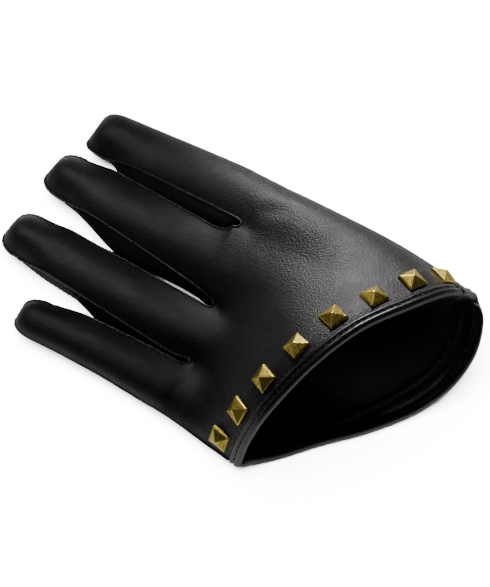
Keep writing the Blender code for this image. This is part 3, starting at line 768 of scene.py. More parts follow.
class Nodes:
    """Short names for building a material's nodes."""

    def __init__(self, name):
        self.material = bpy.data.materials.new(name)
        self.material.use_nodes = True
        self.tree = self.material.node_tree
        self.shader = self.tree.nodes["Principled BSDF"]
        self.place = self.add("ShaderNodeTexCoord").outputs["Object"]

    def add(self, kind, **settings):
        node = self.tree.nodes.new(kind)
        for key, value in settings.items():
            setattr(node, key, value)
        return node

    def feed(self, node, key, value):
        """Link an output, or set a plain value."""
        if isinstance(value, bpy.types.NodeSocket):
            self.tree.links.new(value, node.inputs[key])
        else:
            node.inputs[key].default_value = value

    def noise(self, size, detail, roughness=0.5, stretch=(1, 1, 1)):
        """Noise whose cells are about size metres."""
        mapping = self.add("ShaderNodeMapping")
        self.feed(mapping, "Vector", self.place)
        mapping.inputs["Scale"].default_value = [1 / (size * s) for s in stretch]
        node = self.add("ShaderNodeTexNoise")
        self.feed(node, "Vector", mapping.outputs["Vector"])
        self.feed(node, "Scale", 1.0)
        self.feed(node, "Detail", detail)
        self.feed(node, "Roughness", roughness)
        return node.outputs["Fac"]

    def cells(self, size, warp):
        """Distance to the middle of uneven cells of about size metres."""
        wobble = self.add("ShaderNodeTexNoise")
        self.feed(wobble, "Vector", self.place)
        self.feed(wobble, "Scale", 0.6 / size)
        offset = self.add("ShaderNodeVectorMath", operation="MULTIPLY_ADD")
        self.feed(offset, 0, wobble.outputs["Color"])
        offset.inputs[1].default_value = (size * warp,) * 3
        self.feed(offset, 2, self.place)
        node = self.add("ShaderNodeTexVoronoi", feature="F1")
        self.feed(node, "Vector", offset.outputs["Vector"])
        self.feed(node, "Scale", 1 / size)
        return node.outputs["Distance"]

    def ramp(self, value, low, high, out_low=0.0, out_high=1.0):
        node = self.add("ShaderNodeMapRange", interpolation_type="SMOOTHSTEP")
        self.feed(node, "Value", value)
        for key, number in (("From Min", low), ("From Max", high),
                            ("To Min", out_low), ("To Max", out_high)):
            node.inputs[key].default_value = number
        return node.outputs["Result"]

    def math(self, operation, a, b):
        node = self.add("ShaderNodeMath", operation=operation)
        self.feed(node, 0, a)
        self.feed(node, 1, b)
        return node.outputs["Value"]

    def blend(self, share, low, high):
        """A colour between two."""
        node = self.add("ShaderNodeMix", data_type="RGBA")
        self.feed(node, 0, share)
        node.inputs[6].default_value = (*low, 1)
        node.inputs[7].default_value = (*high, 1)
        return node.outputs[2]

    def bump(self, height, distance, below=None):
        """A normal from heights, on top of the bump below."""
        node = self.add("ShaderNodeBump")
        self.feed(node, "Height", height)
        self.feed(node, "Distance", distance)
        self.feed(node, "Strength", 1.0)
        if below:
            self.feed(node, "Normal", below)
        return node.outputs["Normal"]

    def finish(self, color, roughness, normal, **others):
        self.feed(self.shader, "Base Color", color)
        self.feed(self.shader, "Roughness", roughness)
        self.feed(self.shader, "Normal", normal)
        for key, value in others.items():
            self.feed(self.shader, key.replace("_", " "), value)
        return self.material


PEBBLE = 0.66 * MM


def leather_material(name, dark, light, roughness, grain, sheen=0.03, shine=0.30):
    """Dyed nappa: grain of round pebbles, uneven gloss, and lighter high spots in patches."""
    nodes = Nodes(name)
    pebble = nodes.ramp(nodes.cells(PEBBLE, 0.5), 0.15, 0.75, 1.0, 0.0)
    patches = nodes.ramp(nodes.noise(9 * MM, 2), 0.35, 0.7)
    color = nodes.blend(nodes.math("MULTIPLY", pebble, patches), dark, light)
    gloss = nodes.ramp(nodes.noise(6 * MM, 2), 0.25, 0.75, roughness - 0.03, roughness + 0.05)
    gloss = nodes.math("ADD", gloss, nodes.ramp(pebble, 0, 1, 0.10, 0.0))
    lower = nodes.bump(nodes.noise(3.0 * MM, 1, stretch=(1, 1.3, 1)), 0.03 * MM)
    normal = nodes.bump(pebble, grain * MM, below=lower)
    return nodes.finish(color, gloss, normal, Specular_IOR_Level=shine, Sheen_Weight=sheen,
                        Sheen_Roughness=0.5)


def fabric_material(name):
    """Fine knitted lining."""
    nodes = Nodes(name)
    loops = nodes.cells(0.42 * MM, 0.15)
    color = nodes.blend(nodes.ramp(loops, 0.1, 0.6), (0.010, 0.010, 0.011), (0.003, 0.003, 0.003))
    lower = nodes.bump(nodes.noise(5 * MM, 3), 0.5 * MM)
    normal = nodes.bump(loops, -0.10 * MM, below=lower)
    return nodes.finish(color, 0.86, normal, Sheen_Weight=0.25, Sheen_Roughness=0.6)


def thread_material(name, color):
    """Twisted thread."""
    nodes = Nodes(name)
    twist = nodes.noise(0.22 * MM, 1)
    shade = nodes.blend(twist, tuple(c * 0.6 for c in color), tuple(c * 1.5 for c in color))
    return nodes.finish(shade, 0.6, nodes.bump(twist, 0.05 * MM), Sheen_Weight=0.3)


def brass_material(name):
    """Antique brass: brown and pitted in the lows, bright on the ridges, partly as wear and partly as
    a painted highlight.
    """
    nodes = Nodes(name)
    # The ridges, point and rim are brighter: partly wear, partly a painted highlight where they catch
    # the light.
    edges = nodes.add("ShaderNodeAttribute", attribute_name="ridge").outputs["Fac"]
    patina = nodes.ramp(nodes.noise(1.1 * MM, 5, 0.65), 0.35, 0.68)
    pits = nodes.ramp(nodes.cells(0.25 * MM, 0.35), 0.15, 0.5)
    wear_highlight_and_patina = nodes.math("MAXIMUM", edges, nodes.math("MULTIPLY", patina, 0.55))
    color = nodes.blend(wear_highlight_and_patina, (0.20, 0.145, 0.018), (0.72, 0.56, 0.13))
    gloss = nodes.ramp(wear_highlight_and_patina, 0, 1, 0.46, 0.24)
    scratches = nodes.noise(0.3 * MM, 2, stretch=(1, 8, 1))
    normal = nodes.bump(pits, 0.02 * MM, below=nodes.bump(scratches, 0.010 * MM))
    return nodes.finish(color, gloss, normal, Metallic=1.0)


def set_material(obj, material, slot):
    obj.data.materials.clear()
    obj.data.materials.append(material)


# ---- Pieces -------------------------------------------------------------------------------------

# The trank starts at this row, under the binding.
FIRST_ROW = 4

# How the roots are evened out: columns left alone at the sides, rows and rounds of the stalls, and
# rows and rounds of the two passes over the hand.
ROOT_SIDES = slice(2, -2)
ROOT_ROWS, ROOT_ROUNDS = slice(0, 9), 12
HAND_PASSES = [(slice(EDGE_ROWS + 4, -10), 60), (slice(-34, -1), 16)]

# Raised seams: size of the sewn edge, spacing of its points, the rounds that even it out, the
# points over which it thins at its ends, how much it wavers, and its stitches.
EDGE_WIDTH = 0.85 * MM
EDGE_HEIGHT = 0.95 * MM
EDGE_LIFT = 0.12 * MM
EDGE_SIDES = 8
SEAM_SPACING = 0.55 * MM
SEAM_ROUNDS = 9
SEAM_TAPER = 5
SEAM_THIN = 0.15
SEAM_WAVER = 0.10
SEAM_STITCH_PITCH = 2.1 * MM
SEAM_STITCH = 1.5 * MM
SEAM_STITCH_SUNK = 0.10 * MM
SEAM_STITCH_ASIDE = 0.18

# Rows of a gusset that are left out where it closes, and web columns past its middle in a seam.
GUSSET_SPARE = 3
WEB_PAST = 2

# Outline of the bound edge: distance from the cuff edge along the leather, height over it.
BINDING_PROFILE = [(3.6, -0.2), (3.62, 0.30), (3.35, 0.66), (2.8, 0.82), (2.25, 0.72), (1.92, 0.34),
                   (1.70, 0.30), (1.45, 0.64), (0.95, 0.90), (0.3, 0.86), (-0.35, 0.50),
                   (-0.75, -0.20), (-0.85, -1.00), (-0.65, -1.90), (-0.15, -2.65), (0.6, -3.00),
                   (1.5, -3.05), (2.3, -3.00), (2.65, -2.80), (2.85, -2.62), (3.05, -2.80),
                   (3.45, -2.85), (3.72, -2.60), (3.7, -2.25)]
FACING_PROFILE = [(3.4, -2.2), (9.6, -2.2), (9.95, -2.3), (10.0, -2.5), (9.9, -2.68), (3.4, -2.7)]

# The stitches pull the binding in: points of the outline above and below, and how far.
PINCHES = [(slice(5, 7), -0.16), (slice(18, 21), 0.14)]
BINDING_TOP = slice(2, 12)
BINDING_WAVER = 0.10
CUFF_STITCH_PITCH = 2.4 * MM
CUFF_STITCH = 1.7 * MM

# Rows of stitches round the cuff: distance from the edge, height, and out or in.
CUFF_STITCH_ROWS = [(1.81, 0.42, 1), (3.95, 0.02, 1), (2.85, -2.72, -1), (9.0, -2.74, -1)]

# Spacing of the cuff's points, where the binding's overlap lies round it, how long it is as a
# share, how far it stands proud, the height between its two faces, and the evening of normals.
CUFF_SPACING = 0.7 * MM
JOINT_AT = 0.478
JOINT_LENGTH = 0.018
JOINT_PROUD = 0.35 * MM
BINDING_MIDDLE = -1.2 * MM
CUFF_EVEN_ROUNDS = 8

# Pivot of the thumb stall, seen from above, and radius of its mouth in the palm.
THUMB_PIVOT = np.array((24.0, -42.0)) * MM
THUMB_MOUTH = 8.5 * MM


def open_mouth(points, faces, over):
    """Leave out the faces over the thumb's mouth, and round the hole's edge."""
    middle = points[faces].mean(1)
    inside = (np.linalg.norm(middle[:, :2] - THUMB_PIVOT, axis=1) < THUMB_MOUTH) & over
    rim = np.intersect1d(faces[inside], faces[~inside])
    spokes = points[rim, :2] - THUMB_PIVOT
    points[rim, :2] = THUMB_PIVOT + unit(spokes) * THUMB_MOUTH
    return faces[~inside]


class Glove:
    """Cuts the skin into pieces and adds what is sewn on it."""

    def __init__(self):
        self.skin = make_skin()
        self.trank = [n for n in self.skin.names if n.endswith(("back", "palm"))]
        gussets = [n for n in self.skin.names if n not in self.trank]
        self.smooth_roots()
        press_relief(self.skin)
        self.trank_normals = self.skin.normals(self.skin.faces_of(self.trank))
        self.gusset_normals = self.skin.normals(self.skin.faces_of(gussets))
        self.all_normals = self.skin.normals(self.skin.faces)
        self.leather = leather_material("nappa_leather", (0.0023, 0.0020, 0.0023),
                                        (0.0050, 0.0044, 0.0050), 0.42, 0.075)
        # The gussets and crotch webs take a darker copy of the leather: painted shade between the
        # fingers.
        self.gusset_leather = leather_material("gusset_leather", (0.0012, 0.0011, 0.0012),
                                               (0.0030, 0.0027, 0.0029), 0.62, 0.08, 0.0, 0.12)
        self.binding_leather = leather_material("binding_leather", (0.0026, 0.0023, 0.0025),
                                                (0.0060, 0.0053, 0.0058), 0.27, 0.03, 0.03, 0.45)
        self.lining = fabric_material("knitted_lining")
        self.thread = thread_material("black_thread", (0.028, 0.026, 0.027))
        self.brass = brass_material("antique_brass")

    def smooth_roots(self):
        """Even out the creases where the stalls leave the hand."""
        skin = self.skin
        faces = skin.faces_of(self.trank)
        for side in ("back", "palm"):
            for name in FINGERS:
                stall = skin.grids[f"{name}_{side}"]
                relax(skin, faces, stall[ROOT_ROWS, ROOT_SIDES].ravel(), ROOT_ROUNDS)
            hand = skin.grids[f"hand_{side}"]
            for rows, rounds in HAND_PASSES:
                relax(skin, faces, hand[rows, ROOT_SIDES].ravel(), rounds)

    def place(self, obj, finger=None):
        """Ride on the hand; a piece with a finger only has its transform baked in."""
        if finger is None:
            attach(obj, "hand")
            return
        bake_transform(obj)

    def settle(self, obj, look, finger=None, node=None):
        """Give a piece the material of its look, place it, and hide the node it replaces."""
        set_material(obj, *look)
        self.place(obj, finger)
        if node:
            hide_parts(node)

    def layer(self, name, faces, normals, depths, *settings):
        """A thickened part of the skin."""
        self.settle(shell(name, self.skin.points, faces, normals, *depths), *settings)

    def solid(self, name, parts, *settings):
        """A piece from points and faces."""
        self.settle(add_object(name, *parts), *settings)

    def hand_faces(self, step, webs=()):
        """Faces of the hand and of some webs, without the thumb's mouth."""
        grids = self.skin.grids
        ids = [grids[f"hand_{side}"][FIRST_ROW:] for side in ("back", "palm")]
        ids += [grids[f"{name}_web"] for name in webs]
        faces = np.vstack([ids_to_quads(thin_out(each, step)) for each in ids])
        below = self.all_normals[faces[:, 0]][:, 2] < 0
        return open_mouth(self.skin.points, faces, below)

    def build_leather(self):
        skin = self.skin
        look = (self.leather, "leather")
        self.layer("trank_leather", self.hand_faces(1), self.trank_normals, (0, LEATHER), look,
                   None, "trank_hand")
        # Gussets and crotch webs get the darker leather, painted shade between the fingers.
        dark = (self.gusset_leather, "gusset_leather")
        for left, right in zip(FINGERS, FINGERS[1:]):
            self.layer(f"crotch_web_{left}_{right}", skin.faces_of([f"{left}_web"]),
                       self.gusset_normals, (0, LEATHER), dark, None,
                       f"crotch_gusset_{left}_{right}")
        for stall in ALL_STALLS:
            name = stall.name
            panels = {"back": ("back",), "palm": ("palm",)}
            if stall.right_round:
                panels = {"wrap": ("back", "palm")}
            for panel, sides in panels.items():
                faces = skin.faces_of([f"{name}_{side}" for side in sides])
                self.layer(f"{name}_{panel}_leather", faces, self.trank_normals, (0, LEATHER),
                           look, name, f"{name}_{panel}")
            for side, node in (("left", "gusset_little_side"), ("right", "gusset_index_side")):
                if f"{name}_{side}" in skin.names:
                    ids = skin.grids[f"{name}_{side}"]
                    apart = np.flatnonzero(ids[:, 0] != ids[:, -1])
                    faces = ids_to_quads(ids[:apart[-1] - GUSSET_SPARE])
                    self.layer(f"{name}_{node}_leather", faces, self.gusset_normals, (0, LEATHER),
                               dark, name, f"{name}_{node}")

    def build_lining(self):
        look = (self.lining, "lining")
        depths = (LINING_DEPTH, LINING_DEPTH + LINING)
        grids = self.skin.grids
        self.layer("hand_lining_fabric", self.hand_faces(2, FINGERS[:-1]), self.all_normals,
                   depths, look, None, "lining_hand")
        for name in FINGERS:
            sides = [s for s in ("back", "palm", "left", "right") if f"{name}_{s}" in grids]
            faces = np.vstack([ids_to_quads(thin_out(grids[f"{name}_{s}"])) for s in sides])
            self.layer(f"{name}_lining_fabric", faces, self.all_normals, depths, look, name,
                       f"{name}_lining")

    # -- Raised seams --

    def seam_line(self, ids):
        """Points and outward directions along a row of skin points."""
        keep = [ids[0]] + [b for a, b in zip(ids, ids[1:]) if a != b]
        points = self.skin.points[keep]
        ups = unit(self.trank_normals[keep] + self.gusset_normals[keep])
        both = np.hstack((points, ups))
        even = respace(both, SEAM_SPACING)
        for _ in range(SEAM_ROUNDS):
            even[1:-1] = (even[:-2] + even[2:] + 2 * even[1:-1]) / 4
        return even[:, :3], unit(even[:, 3:])

    def finger_seams(self, stall):
        """Rows of skin points along which the stall's pieces are sewn together."""
        grids = self.skin.grids
        back, palm = grids[f"{stall.name}_back"], grids[f"{stall.name}_palm"]
        half = WEB_COLUMNS // 2
        past = half - WEB_PAST
        lines = []
        if stall.left_round:
            top_left = back[:, 0]
        else:
            web = grids[f"{FINGERS[stall.place - 1]}_web"]
            top_left = np.concatenate((web[0, past:], back[1:, 0]))
            lines.append(np.concatenate((web[-1, half:], self.open_part(palm[:, -1], back[:, 0]))))
        if stall.right_round:
            lines.append(np.concatenate((top_left, back[-1])))
        else:
            web = grids[f"{stall.name}_web"]
            top_right = np.concatenate((web[0, WEB_COLUMNS - past::-1], back[1:, -1]))
            lines.append(np.concatenate((top_left, back[-1], top_right[::-1])))
            lines.append(np.concatenate((web[-1, half::-1], self.open_part(palm[:, 0], back[:, -1]))))
        return lines

    @staticmethod
    def open_part(lower, upper):
        """The lower seam past its root, up to where it meets the upper one."""
        apart = np.flatnonzero(lower != upper)
        return lower[1:apart[-1] - GUSSET_SPARE]

    def edge_and_stitches(self, ids):
        """A raised edge along a row of skin points, and the stitches on it."""
        line, ups = self.seam_line(ids)
        profile = round_profile(EDGE_WIDTH, EDGE_HEIGHT, EDGE_SIDES, EDGE_LIFT)
        waver = 1 + SEAM_WAVER * turbulence(line, (1.6, 1.6, 1.6), 5.0, 2)
        from_end = np.minimum(np.arange(len(line)), np.arange(len(line))[::-1])
        ending = mix(SEAM_THIN, 1, smooth((from_end + 1) / SEAM_TAPER))
        edge = tube_along(line, ups, profile[None] * (waver * ending)[:, None, None])
        side = unit(np.cross(np.gradient(line, axis=0), ups))
        thread = (line + ups * (EDGE_HEIGHT / 2 - SEAM_STITCH_SUNK)
                  + side * EDGE_WIDTH * SEAM_STITCH_ASIDE)
        sewn = slice(SEAM_TAPER, -SEAM_TAPER)
        return edge, stitches(thread[sewn], unit(ups[sewn]), SEAM_STITCH_PITCH, SEAM_STITCH)

    def build_seams(self):
        dark = (self.binding_leather, "leather")
        sewn = (self.thread, "lining")
        for stall in ALL_STALLS:
            made = [self.edge_and_stitches(ids) for ids in self.finger_seams(stall)]
            self.solid(f"{stall.name}_seam_edges", join([edge for edge, _ in made]), dark, stall.name)
            self.solid(f"{stall.name}_stitches", join([row for _, row in made]), sewn, stall.name)
        side = self.skin.grids["hand_back"][FIRST_ROW + 1:, 0]
        edge, row = self.edge_and_stitches(side)
        self.solid("side_seam_edge", edge, dark)
        self.solid("side_seam_stitches", row, sewn)

    # -- Cuff --

    def cuff_frames(self):
        """Round the cuff: points at even distances from its edge, and outward directions."""
        grids = self.skin.grids
        rows = slice(0, EDGE_ROWS + 1)
        back, palm = grids["hand_back"][rows], grids["hand_palm"][rows]
        ids = np.hstack((back, palm[:, 1:-1]))
        normals = self.trank_normals[ids]
        for _ in range(CUFF_EVEN_ROUNDS):
            normals = unit(np.roll(normals, 1, 1) + np.roll(normals, -1, 1) + 2 * normals)
        return self.skin.points[ids], normals

    def cuff_points(self, outline, first=0.0, last=1.0, proud=0.0):
        """An outline of (distance, height) pairs, or an array of them, carried round the cuff."""
        points, normals = self.cuff_frames()
        line = np.vstack((points[0], points[0][:1]))
        far = lengths_along(line)
        count = round(far[-1] * (last - first) / CUFF_SPACING)
        whole = last - first == 1.0
        at = np.linspace(first, last, count, endpoint=not whole) * far[-1]

        def around(values):
            values = np.vstack((values, values[:1]))
            return np.stack([np.interp(at % far[-1], far, values[:, axis]) for axis in range(3)], 1)

        rows = np.array([around(row) for row in points])
        ups = np.array([around(row) for row in normals])
        distances = np.linspace(0, FACING_EDGE, EDGE_ROWS + 1)
        outline = np.array(outline, float) * MM
        if outline.ndim == 2:
            outline = np.repeat(outline[None], count, 0)
        made = np.zeros((count, outline.shape[1], 3))
        for place in range(count):
            ahead = unit(rows[1, place] - rows[0, place])
            for spot, (distance, height) in enumerate(outline[place]):
                on_skin = [np.interp(distance, distances, rows[:, place, axis]) for axis in range(3)]
                up = unit(np.array([np.interp(distance, distances, ups[:, place, axis])
                                    for axis in range(3)]))
                height += math.copysign(proud, height - BINDING_MIDDLE)
                made[place, spot] = on_skin + ahead * min(distance, 0.0) + up * height
        return made

    def build_cuff(self):
        look = (self.binding_leather, "binding")
        edge = self.cuff_points([(0, 0)])[:, 0]
        outline = np.repeat(np.array(BINDING_PROFILE)[None], len(edge), 0)
        row = self.cuff_frames()[0][0]
        length = lengths_along(np.vstack((row, row[:1])))[-1]
        at = np.arange(len(edge)) / len(edge) * length
        pinch = 0.5 - 0.5 * np.cos(2 * math.pi * at / CUFF_STITCH_PITCH)
        for spots, depth in PINCHES:
            outline[:, spots, 1] += depth * pinch[:, None]
        waver = turbulence(edge, (6, 6, 6), 2.0, 2)
        outline[:, BINDING_TOP, 1] += BINDING_WAVER * waver[:, None]
        tab = self.cuff_points(BINDING_PROFILE, JOINT_AT, JOINT_AT + JOINT_LENGTH, JOINT_PROUD)
        for name, points, closed, node in (
                ("cuff_binding_leather", self.cuff_points(outline), True, "cuff_binding"),
                ("cuff_binding_overlap", tab, False, "cuff_binding_joint"),
                ("cuff_facing_strip", self.cuff_points(FACING_PROFILE), True, "cuff_facing")):
            self.solid(name, grid_faces(points[:, ::-1], closed), look, None, node)
        rows = []
        for distance, height, out in CUFF_STITCH_ROWS:
            spots = self.cuff_points([(distance, height), (distance, height + out)])
            line = spots[:, 0]
            rows.append(stitches(line, unit(spots[:, 1] - line), CUFF_STITCH_PITCH, CUFF_STITCH))
        self.solid("cuff_stitches", join(rows), (self.thread, "lining"))


# ---- Thumb --------------------------------------------------------------------------------------

# The stall's reach behind and ahead of its pivot, its turn, half width, heights at both ends, the
# length of the round ends and the share of the width left there, and its room for the lining.
THUMB_BEHIND = 12.0 * MM
THUMB_AHEAD = 46.0 * MM
THUMB_TURN = math.radians(4)
THUMB_WIDTH = 11.0 * MM
THUMB_TOP = (12.4, 9.0)
THUMB_ROUND = 11.0 * MM
THUMB_BLUNT = 0.6
THUMB_EASE = 0.5 * MM
THUMB_FLATNESS = 0.7
THUMB_SIDES = 56
THUMB_ROWS = 70

# Relief of the thumb stall: none near the mouth, and only inwards near the surface it lies on.
THUMB_WRINKLE = 0.35 * MM
THUMB_CALM = 1.5 * MM
THUMB_CALM_EASE = 6 * MM
THUMB_LOW = 0.6 * MM
THUMB_LOWEST = 0.02 * MM
THUMB_EDGE = 0.9 * MM
THUMB_EDGE_LIFT = 0.05 * MM

# The collar sewn into the mouth: its width, height, depth under the palm, and facets.
COLLAR = (2.6 * MM, 1.3 * MM)
COLLAR_SUNK = 0.4 * MM
COLLAR_STEPS = 80
COLLAR_SIDES = 12


def thumb_surface():
    """The thumb stall: a flat pouch with both ends closed and a round mouth on top."""
    pivot = np.array((*THUMB_PIVOT, 0.0))
    forward = np.array((-math.sin(THUMB_TURN), math.cos(THUMB_TURN), 0.0))
    right = np.array((forward[1], -forward[0], 0.0))
    reach = THUMB_BEHIND + THUMB_AHEAD
    turns = np.linspace(0, math.pi, THUMB_ROWS + 1)
    stations = reach * (0.5 - 0.5 * np.cos(turns))
    angles = np.arange(THUMB_SIDES) * 2 * math.pi / THUMB_SIDES
    rows = []
    for far in stations:
        near_end = min(far, reach - far) / THUMB_ROUND
        scale = math.sqrt(max(0.0, 1 - (1 - min(near_end, 1.0)) ** 2))
        width = THUMB_WIDTH * mix(THUMB_BLUNT, 1, scale)
        half = mix(*THUMB_TOP, far / reach) * MM / 2
        level = np.sign(np.sin(angles)) * np.abs(np.sin(angles)) ** THUMB_FLATNESS
        middle = pivot + forward * (far - THUMB_BEHIND) + np.array((0, 0, half))
        rows.append(middle - right * width * np.cos(angles)[:, None]
                    + np.array((0, 0, 1)) * (half * scale * level)[:, None])
    skin = Skin()
    grid = np.array(rows)
    skin.add("thumb", np.concatenate((grid, grid[:, :1]), axis=1))
    skin.weld()
    normals = skin.normals(skin.faces)
    away = np.linalg.norm(skin.points[:, :2] - THUMB_PIVOT, axis=1)
    ease = smooth((away - THUMB_MOUTH - THUMB_CALM) / THUMB_CALM_EASE)
    height = turbulence(skin.points, (7, 13, 8), 1.3) * THUMB_WRINKLE
    low = skin.points[:, 2] < THUMB_LOW
    height[low] = np.minimum(height[low], 0.0)
    skin.points += normals * (height * ease)[:, None]
    skin.points[:, 2] = np.maximum(skin.points[:, 2], THUMB_LOWEST)
    faces = open_mouth(skin.points, skin.faces, normals[skin.faces[:, 0]][:, 2] > 0)
    right_side, left_side = skin.grids["thumb"][:, THUMB_SIDES // 2], skin.grids["thumb"][:, 0]
    return skin, faces, np.concatenate((right_side, left_side[-2:0:-1]))


def build_thumb(glove):
    skin, faces, seam = thumb_surface()
    normals = skin.normals(faces)
    for name, depths, look, node in (
            ("thumb_stall_leather", (0, LEATHER), (glove.leather, "leather"), "thumb_leather"),
            ("thumb_lining_fabric", (LINING_DEPTH + THUMB_EASE, LINING_DEPTH + THUMB_EASE + LINING),
             (glove.lining, "lining"), "thumb_lining")):
        obj = shell(name, skin.points, faces, normals, *depths)
        set_material(obj, *look)
        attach(obj, "thumb")
        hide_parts(node)
    line = respace(skin.points[seam], SEAM_SPACING, True)
    ups = unit((line - line.mean(0)) * np.array((1, 1, 0)))
    profile = round_profile(THUMB_EDGE, THUMB_EDGE, EDGE_SIDES, THUMB_EDGE_LIFT)
    edge = add_object("thumb_seam_edge", *tube_along(line, ups, profile, True))
    set_material(edge, glove.binding_leather, "leather")
    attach(edge, "thumb")
    angles = np.linspace(0, 2 * math.pi, COLLAR_STEPS, endpoint=False)
    spokes = np.stack((np.cos(angles), np.sin(angles), np.zeros(COLLAR_STEPS)), 1)
    ring = np.array((*THUMB_PIVOT, PALM_RAISED - COLLAR_SUNK)) + spokes * THUMB_MOUTH
    rim = tube_along(ring, spokes, round_profile(*COLLAR, COLLAR_SIDES), True)
    collar = add_object("thumb_mouth_seam", *rim)
    set_material(collar, glove.binding_leather, "leather")
    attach(collar, "hand")


# ---- Studs --------------------------------------------------------------------------------------

# A stud's mesh: cells across, depth of the skirt in the leather, and how square its faces are.
STUD_COUNT = 8
STUD_CELLS = 28
STUD_SKIRT = 0.9 * MM
STUD_SHARPNESS = 22.0
SHARP_EDGE = math.radians(50)

# The stud's edge rolls over, and its faces are dented a little.
STUD_ROLL, STUD_ROLL_START = 0.16 * MM, 0.93
STUD_DENTS = 0.035 * MM
DENT_SPREAD = 3.5 * MM

# Bright wear and painted highlight: half width of the ridges and of the point, and the rim and skirt.
RIDGE_WEAR_AND_HIGHLIGHT = 0.26 * MM
POINT_WEAR_AND_HIGHLIGHT = 0.5 * MM
RIM_WEAR_AND_HIGHLIGHT_START, RIM_WEAR_AND_HIGHLIGHT_EASE, RIM_WEAR_AND_HIGHLIGHT = 0.90, 0.08, 0.8
SKIRT_WEAR_AND_HIGHLIGHT = 0.2


def stud_frame(node):
    """Base centre, side, other side and outward direction, and half size and height of a stud."""
    corners = np.unique(np.round([v.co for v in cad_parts[node].data.vertices], 6), axis=0)
    gaps = np.linalg.norm(corners[:, None] - corners[None], axis=2)
    gaps[gaps < 1e-5] = 1.0
    apex = corners[np.argmax(gaps.min(1))]
    others = corners[np.linalg.norm(corners - apex, axis=1) > 1e-5]
    by_distance = others[np.argsort(np.linalg.norm(others - apex, axis=1))]
    top, base = by_distance[:4], by_distance[4:]
    up = unit(apex - base.mean(0))
    ring = top - top.mean(0)
    nearest = np.argsort(np.linalg.norm(top - top[0], axis=1))[1]
    side = unit(top[nearest] - top[0])
    return base.mean(0), side, np.cross(up, side), up, abs(ring @ side).max(), \
        (apex - base.mean(0)) @ up, (top.mean(0) - base.mean(0)) @ up


def build_stud(glove, number):
    base, side, across, up, half, height, rim = stud_frame(f"stud_{number}")
    steps = np.linspace(-1, 1, STUD_CELLS + 1)
    x, y = np.meshgrid(steps, steps, indexing="ij")
    reach = (np.abs(x) ** STUD_SHARPNESS + np.abs(y) ** STUD_SHARPNESS) ** (1 / STUD_SHARPNESS)
    square = np.maximum(np.abs(x), np.abs(y))
    lift = rim + (height - rim) * (1 - np.minimum(reach, 1.0))
    lift -= STUD_ROLL * smooth((square - STUD_ROLL_START) / (1 - STUD_ROLL_START))
    spots = np.stack((x, y, x * 0 + number), -1).reshape(-1, 3) * DENT_SPREAD
    lift += turbulence(spots, (1.4, 1.4, 1.0), number * 7.7).reshape(x.shape) * STUD_DENTS
    top = (base + side * (x * half)[..., None] + across * (y * half)[..., None]
           + up * lift[..., None])
    # Brighter along the ridges, at the point and round the rim: partly wear, partly a painted
    # highlight.
    ridge = np.exp(-((np.abs(x) - np.abs(y)) * half / RIDGE_WEAR_AND_HIGHLIGHT) ** 2)
    ridge = np.maximum(ridge, smooth((square - RIM_WEAR_AND_HIGHLIGHT_START) / RIM_WEAR_AND_HIGHLIGHT_EASE) * RIM_WEAR_AND_HIGHLIGHT)
    ridge = np.maximum(ridge, np.exp(-(square * half / POINT_WEAR_AND_HIGHLIGHT) ** 2))
    ids = np.arange((STUD_CELLS + 1) ** 2).reshape(x.shape)
    faces = ids_to_quads(ids)[:, ::-1].tolist()
    if np.dot(np.cross(side, across), up) > 0:
        faces = [face[::-1] for face in faces]
    border = np.concatenate((ids[:-1, 0], ids[-1, :-1], ids[:0:-1, -1], ids[0, :0:-1]))
    points = top.reshape(-1, 3)
    skirt = points[border] - up * ((points[border] - base) @ up + STUD_SKIRT)[:, None]
    first = len(points)
    count = len(border)
    lower = np.arange(count) + first
    after = np.roll(np.arange(count), -1)
    for here, there in zip(range(count), after):
        faces.append([int(border[there]), int(border[here]), int(lower[here]), int(lower[there])])
    faces.append(lower.tolist())
    obj = add_object(f"stud_{number}_brass", np.vstack((points, skirt)), faces)
    fix_outside(obj)
    wear_and_highlight_layer = obj.data.attributes.new("ridge", "FLOAT", "POINT")
    values = np.concatenate((ridge.ravel(), np.full(count, SKIRT_WEAR_AND_HIGHLIGHT))).astype(np.float32)
    wear_and_highlight_layer.data.foreach_set("value", values)
    set_material(obj, glove.brass, "brass")
    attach(obj, "hand")
    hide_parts(f"stud_{number}")


def fix_outside(obj):
    """Turn all faces outwards, and keep hard edges hard."""
    mesh = bmesh.new()
    mesh.from_mesh(obj.data)
    bmesh.ops.recalc_face_normals(mesh, faces=mesh.faces)
    mesh.to_mesh(obj.data)
    mesh.free()
    obj.data.set_sharp_from_angle(angle=SHARP_EDGE)


# ---- Stage, light and camera --------------------------------------------------------------------

FLOOR_LEVEL = -0.1 * MM
CAMERA_TARGET = mm(8.09, -7.42, 10.0)
CAMERA_AZIMUTH = math.radians(-49.29)
CAMERA_ELEVATION = math.radians(63.31)
CAMERA_ROLL = math.radians(-5.14)
CAMERA_DISTANCE = 0.497
CAMERA_LENS = 85.77


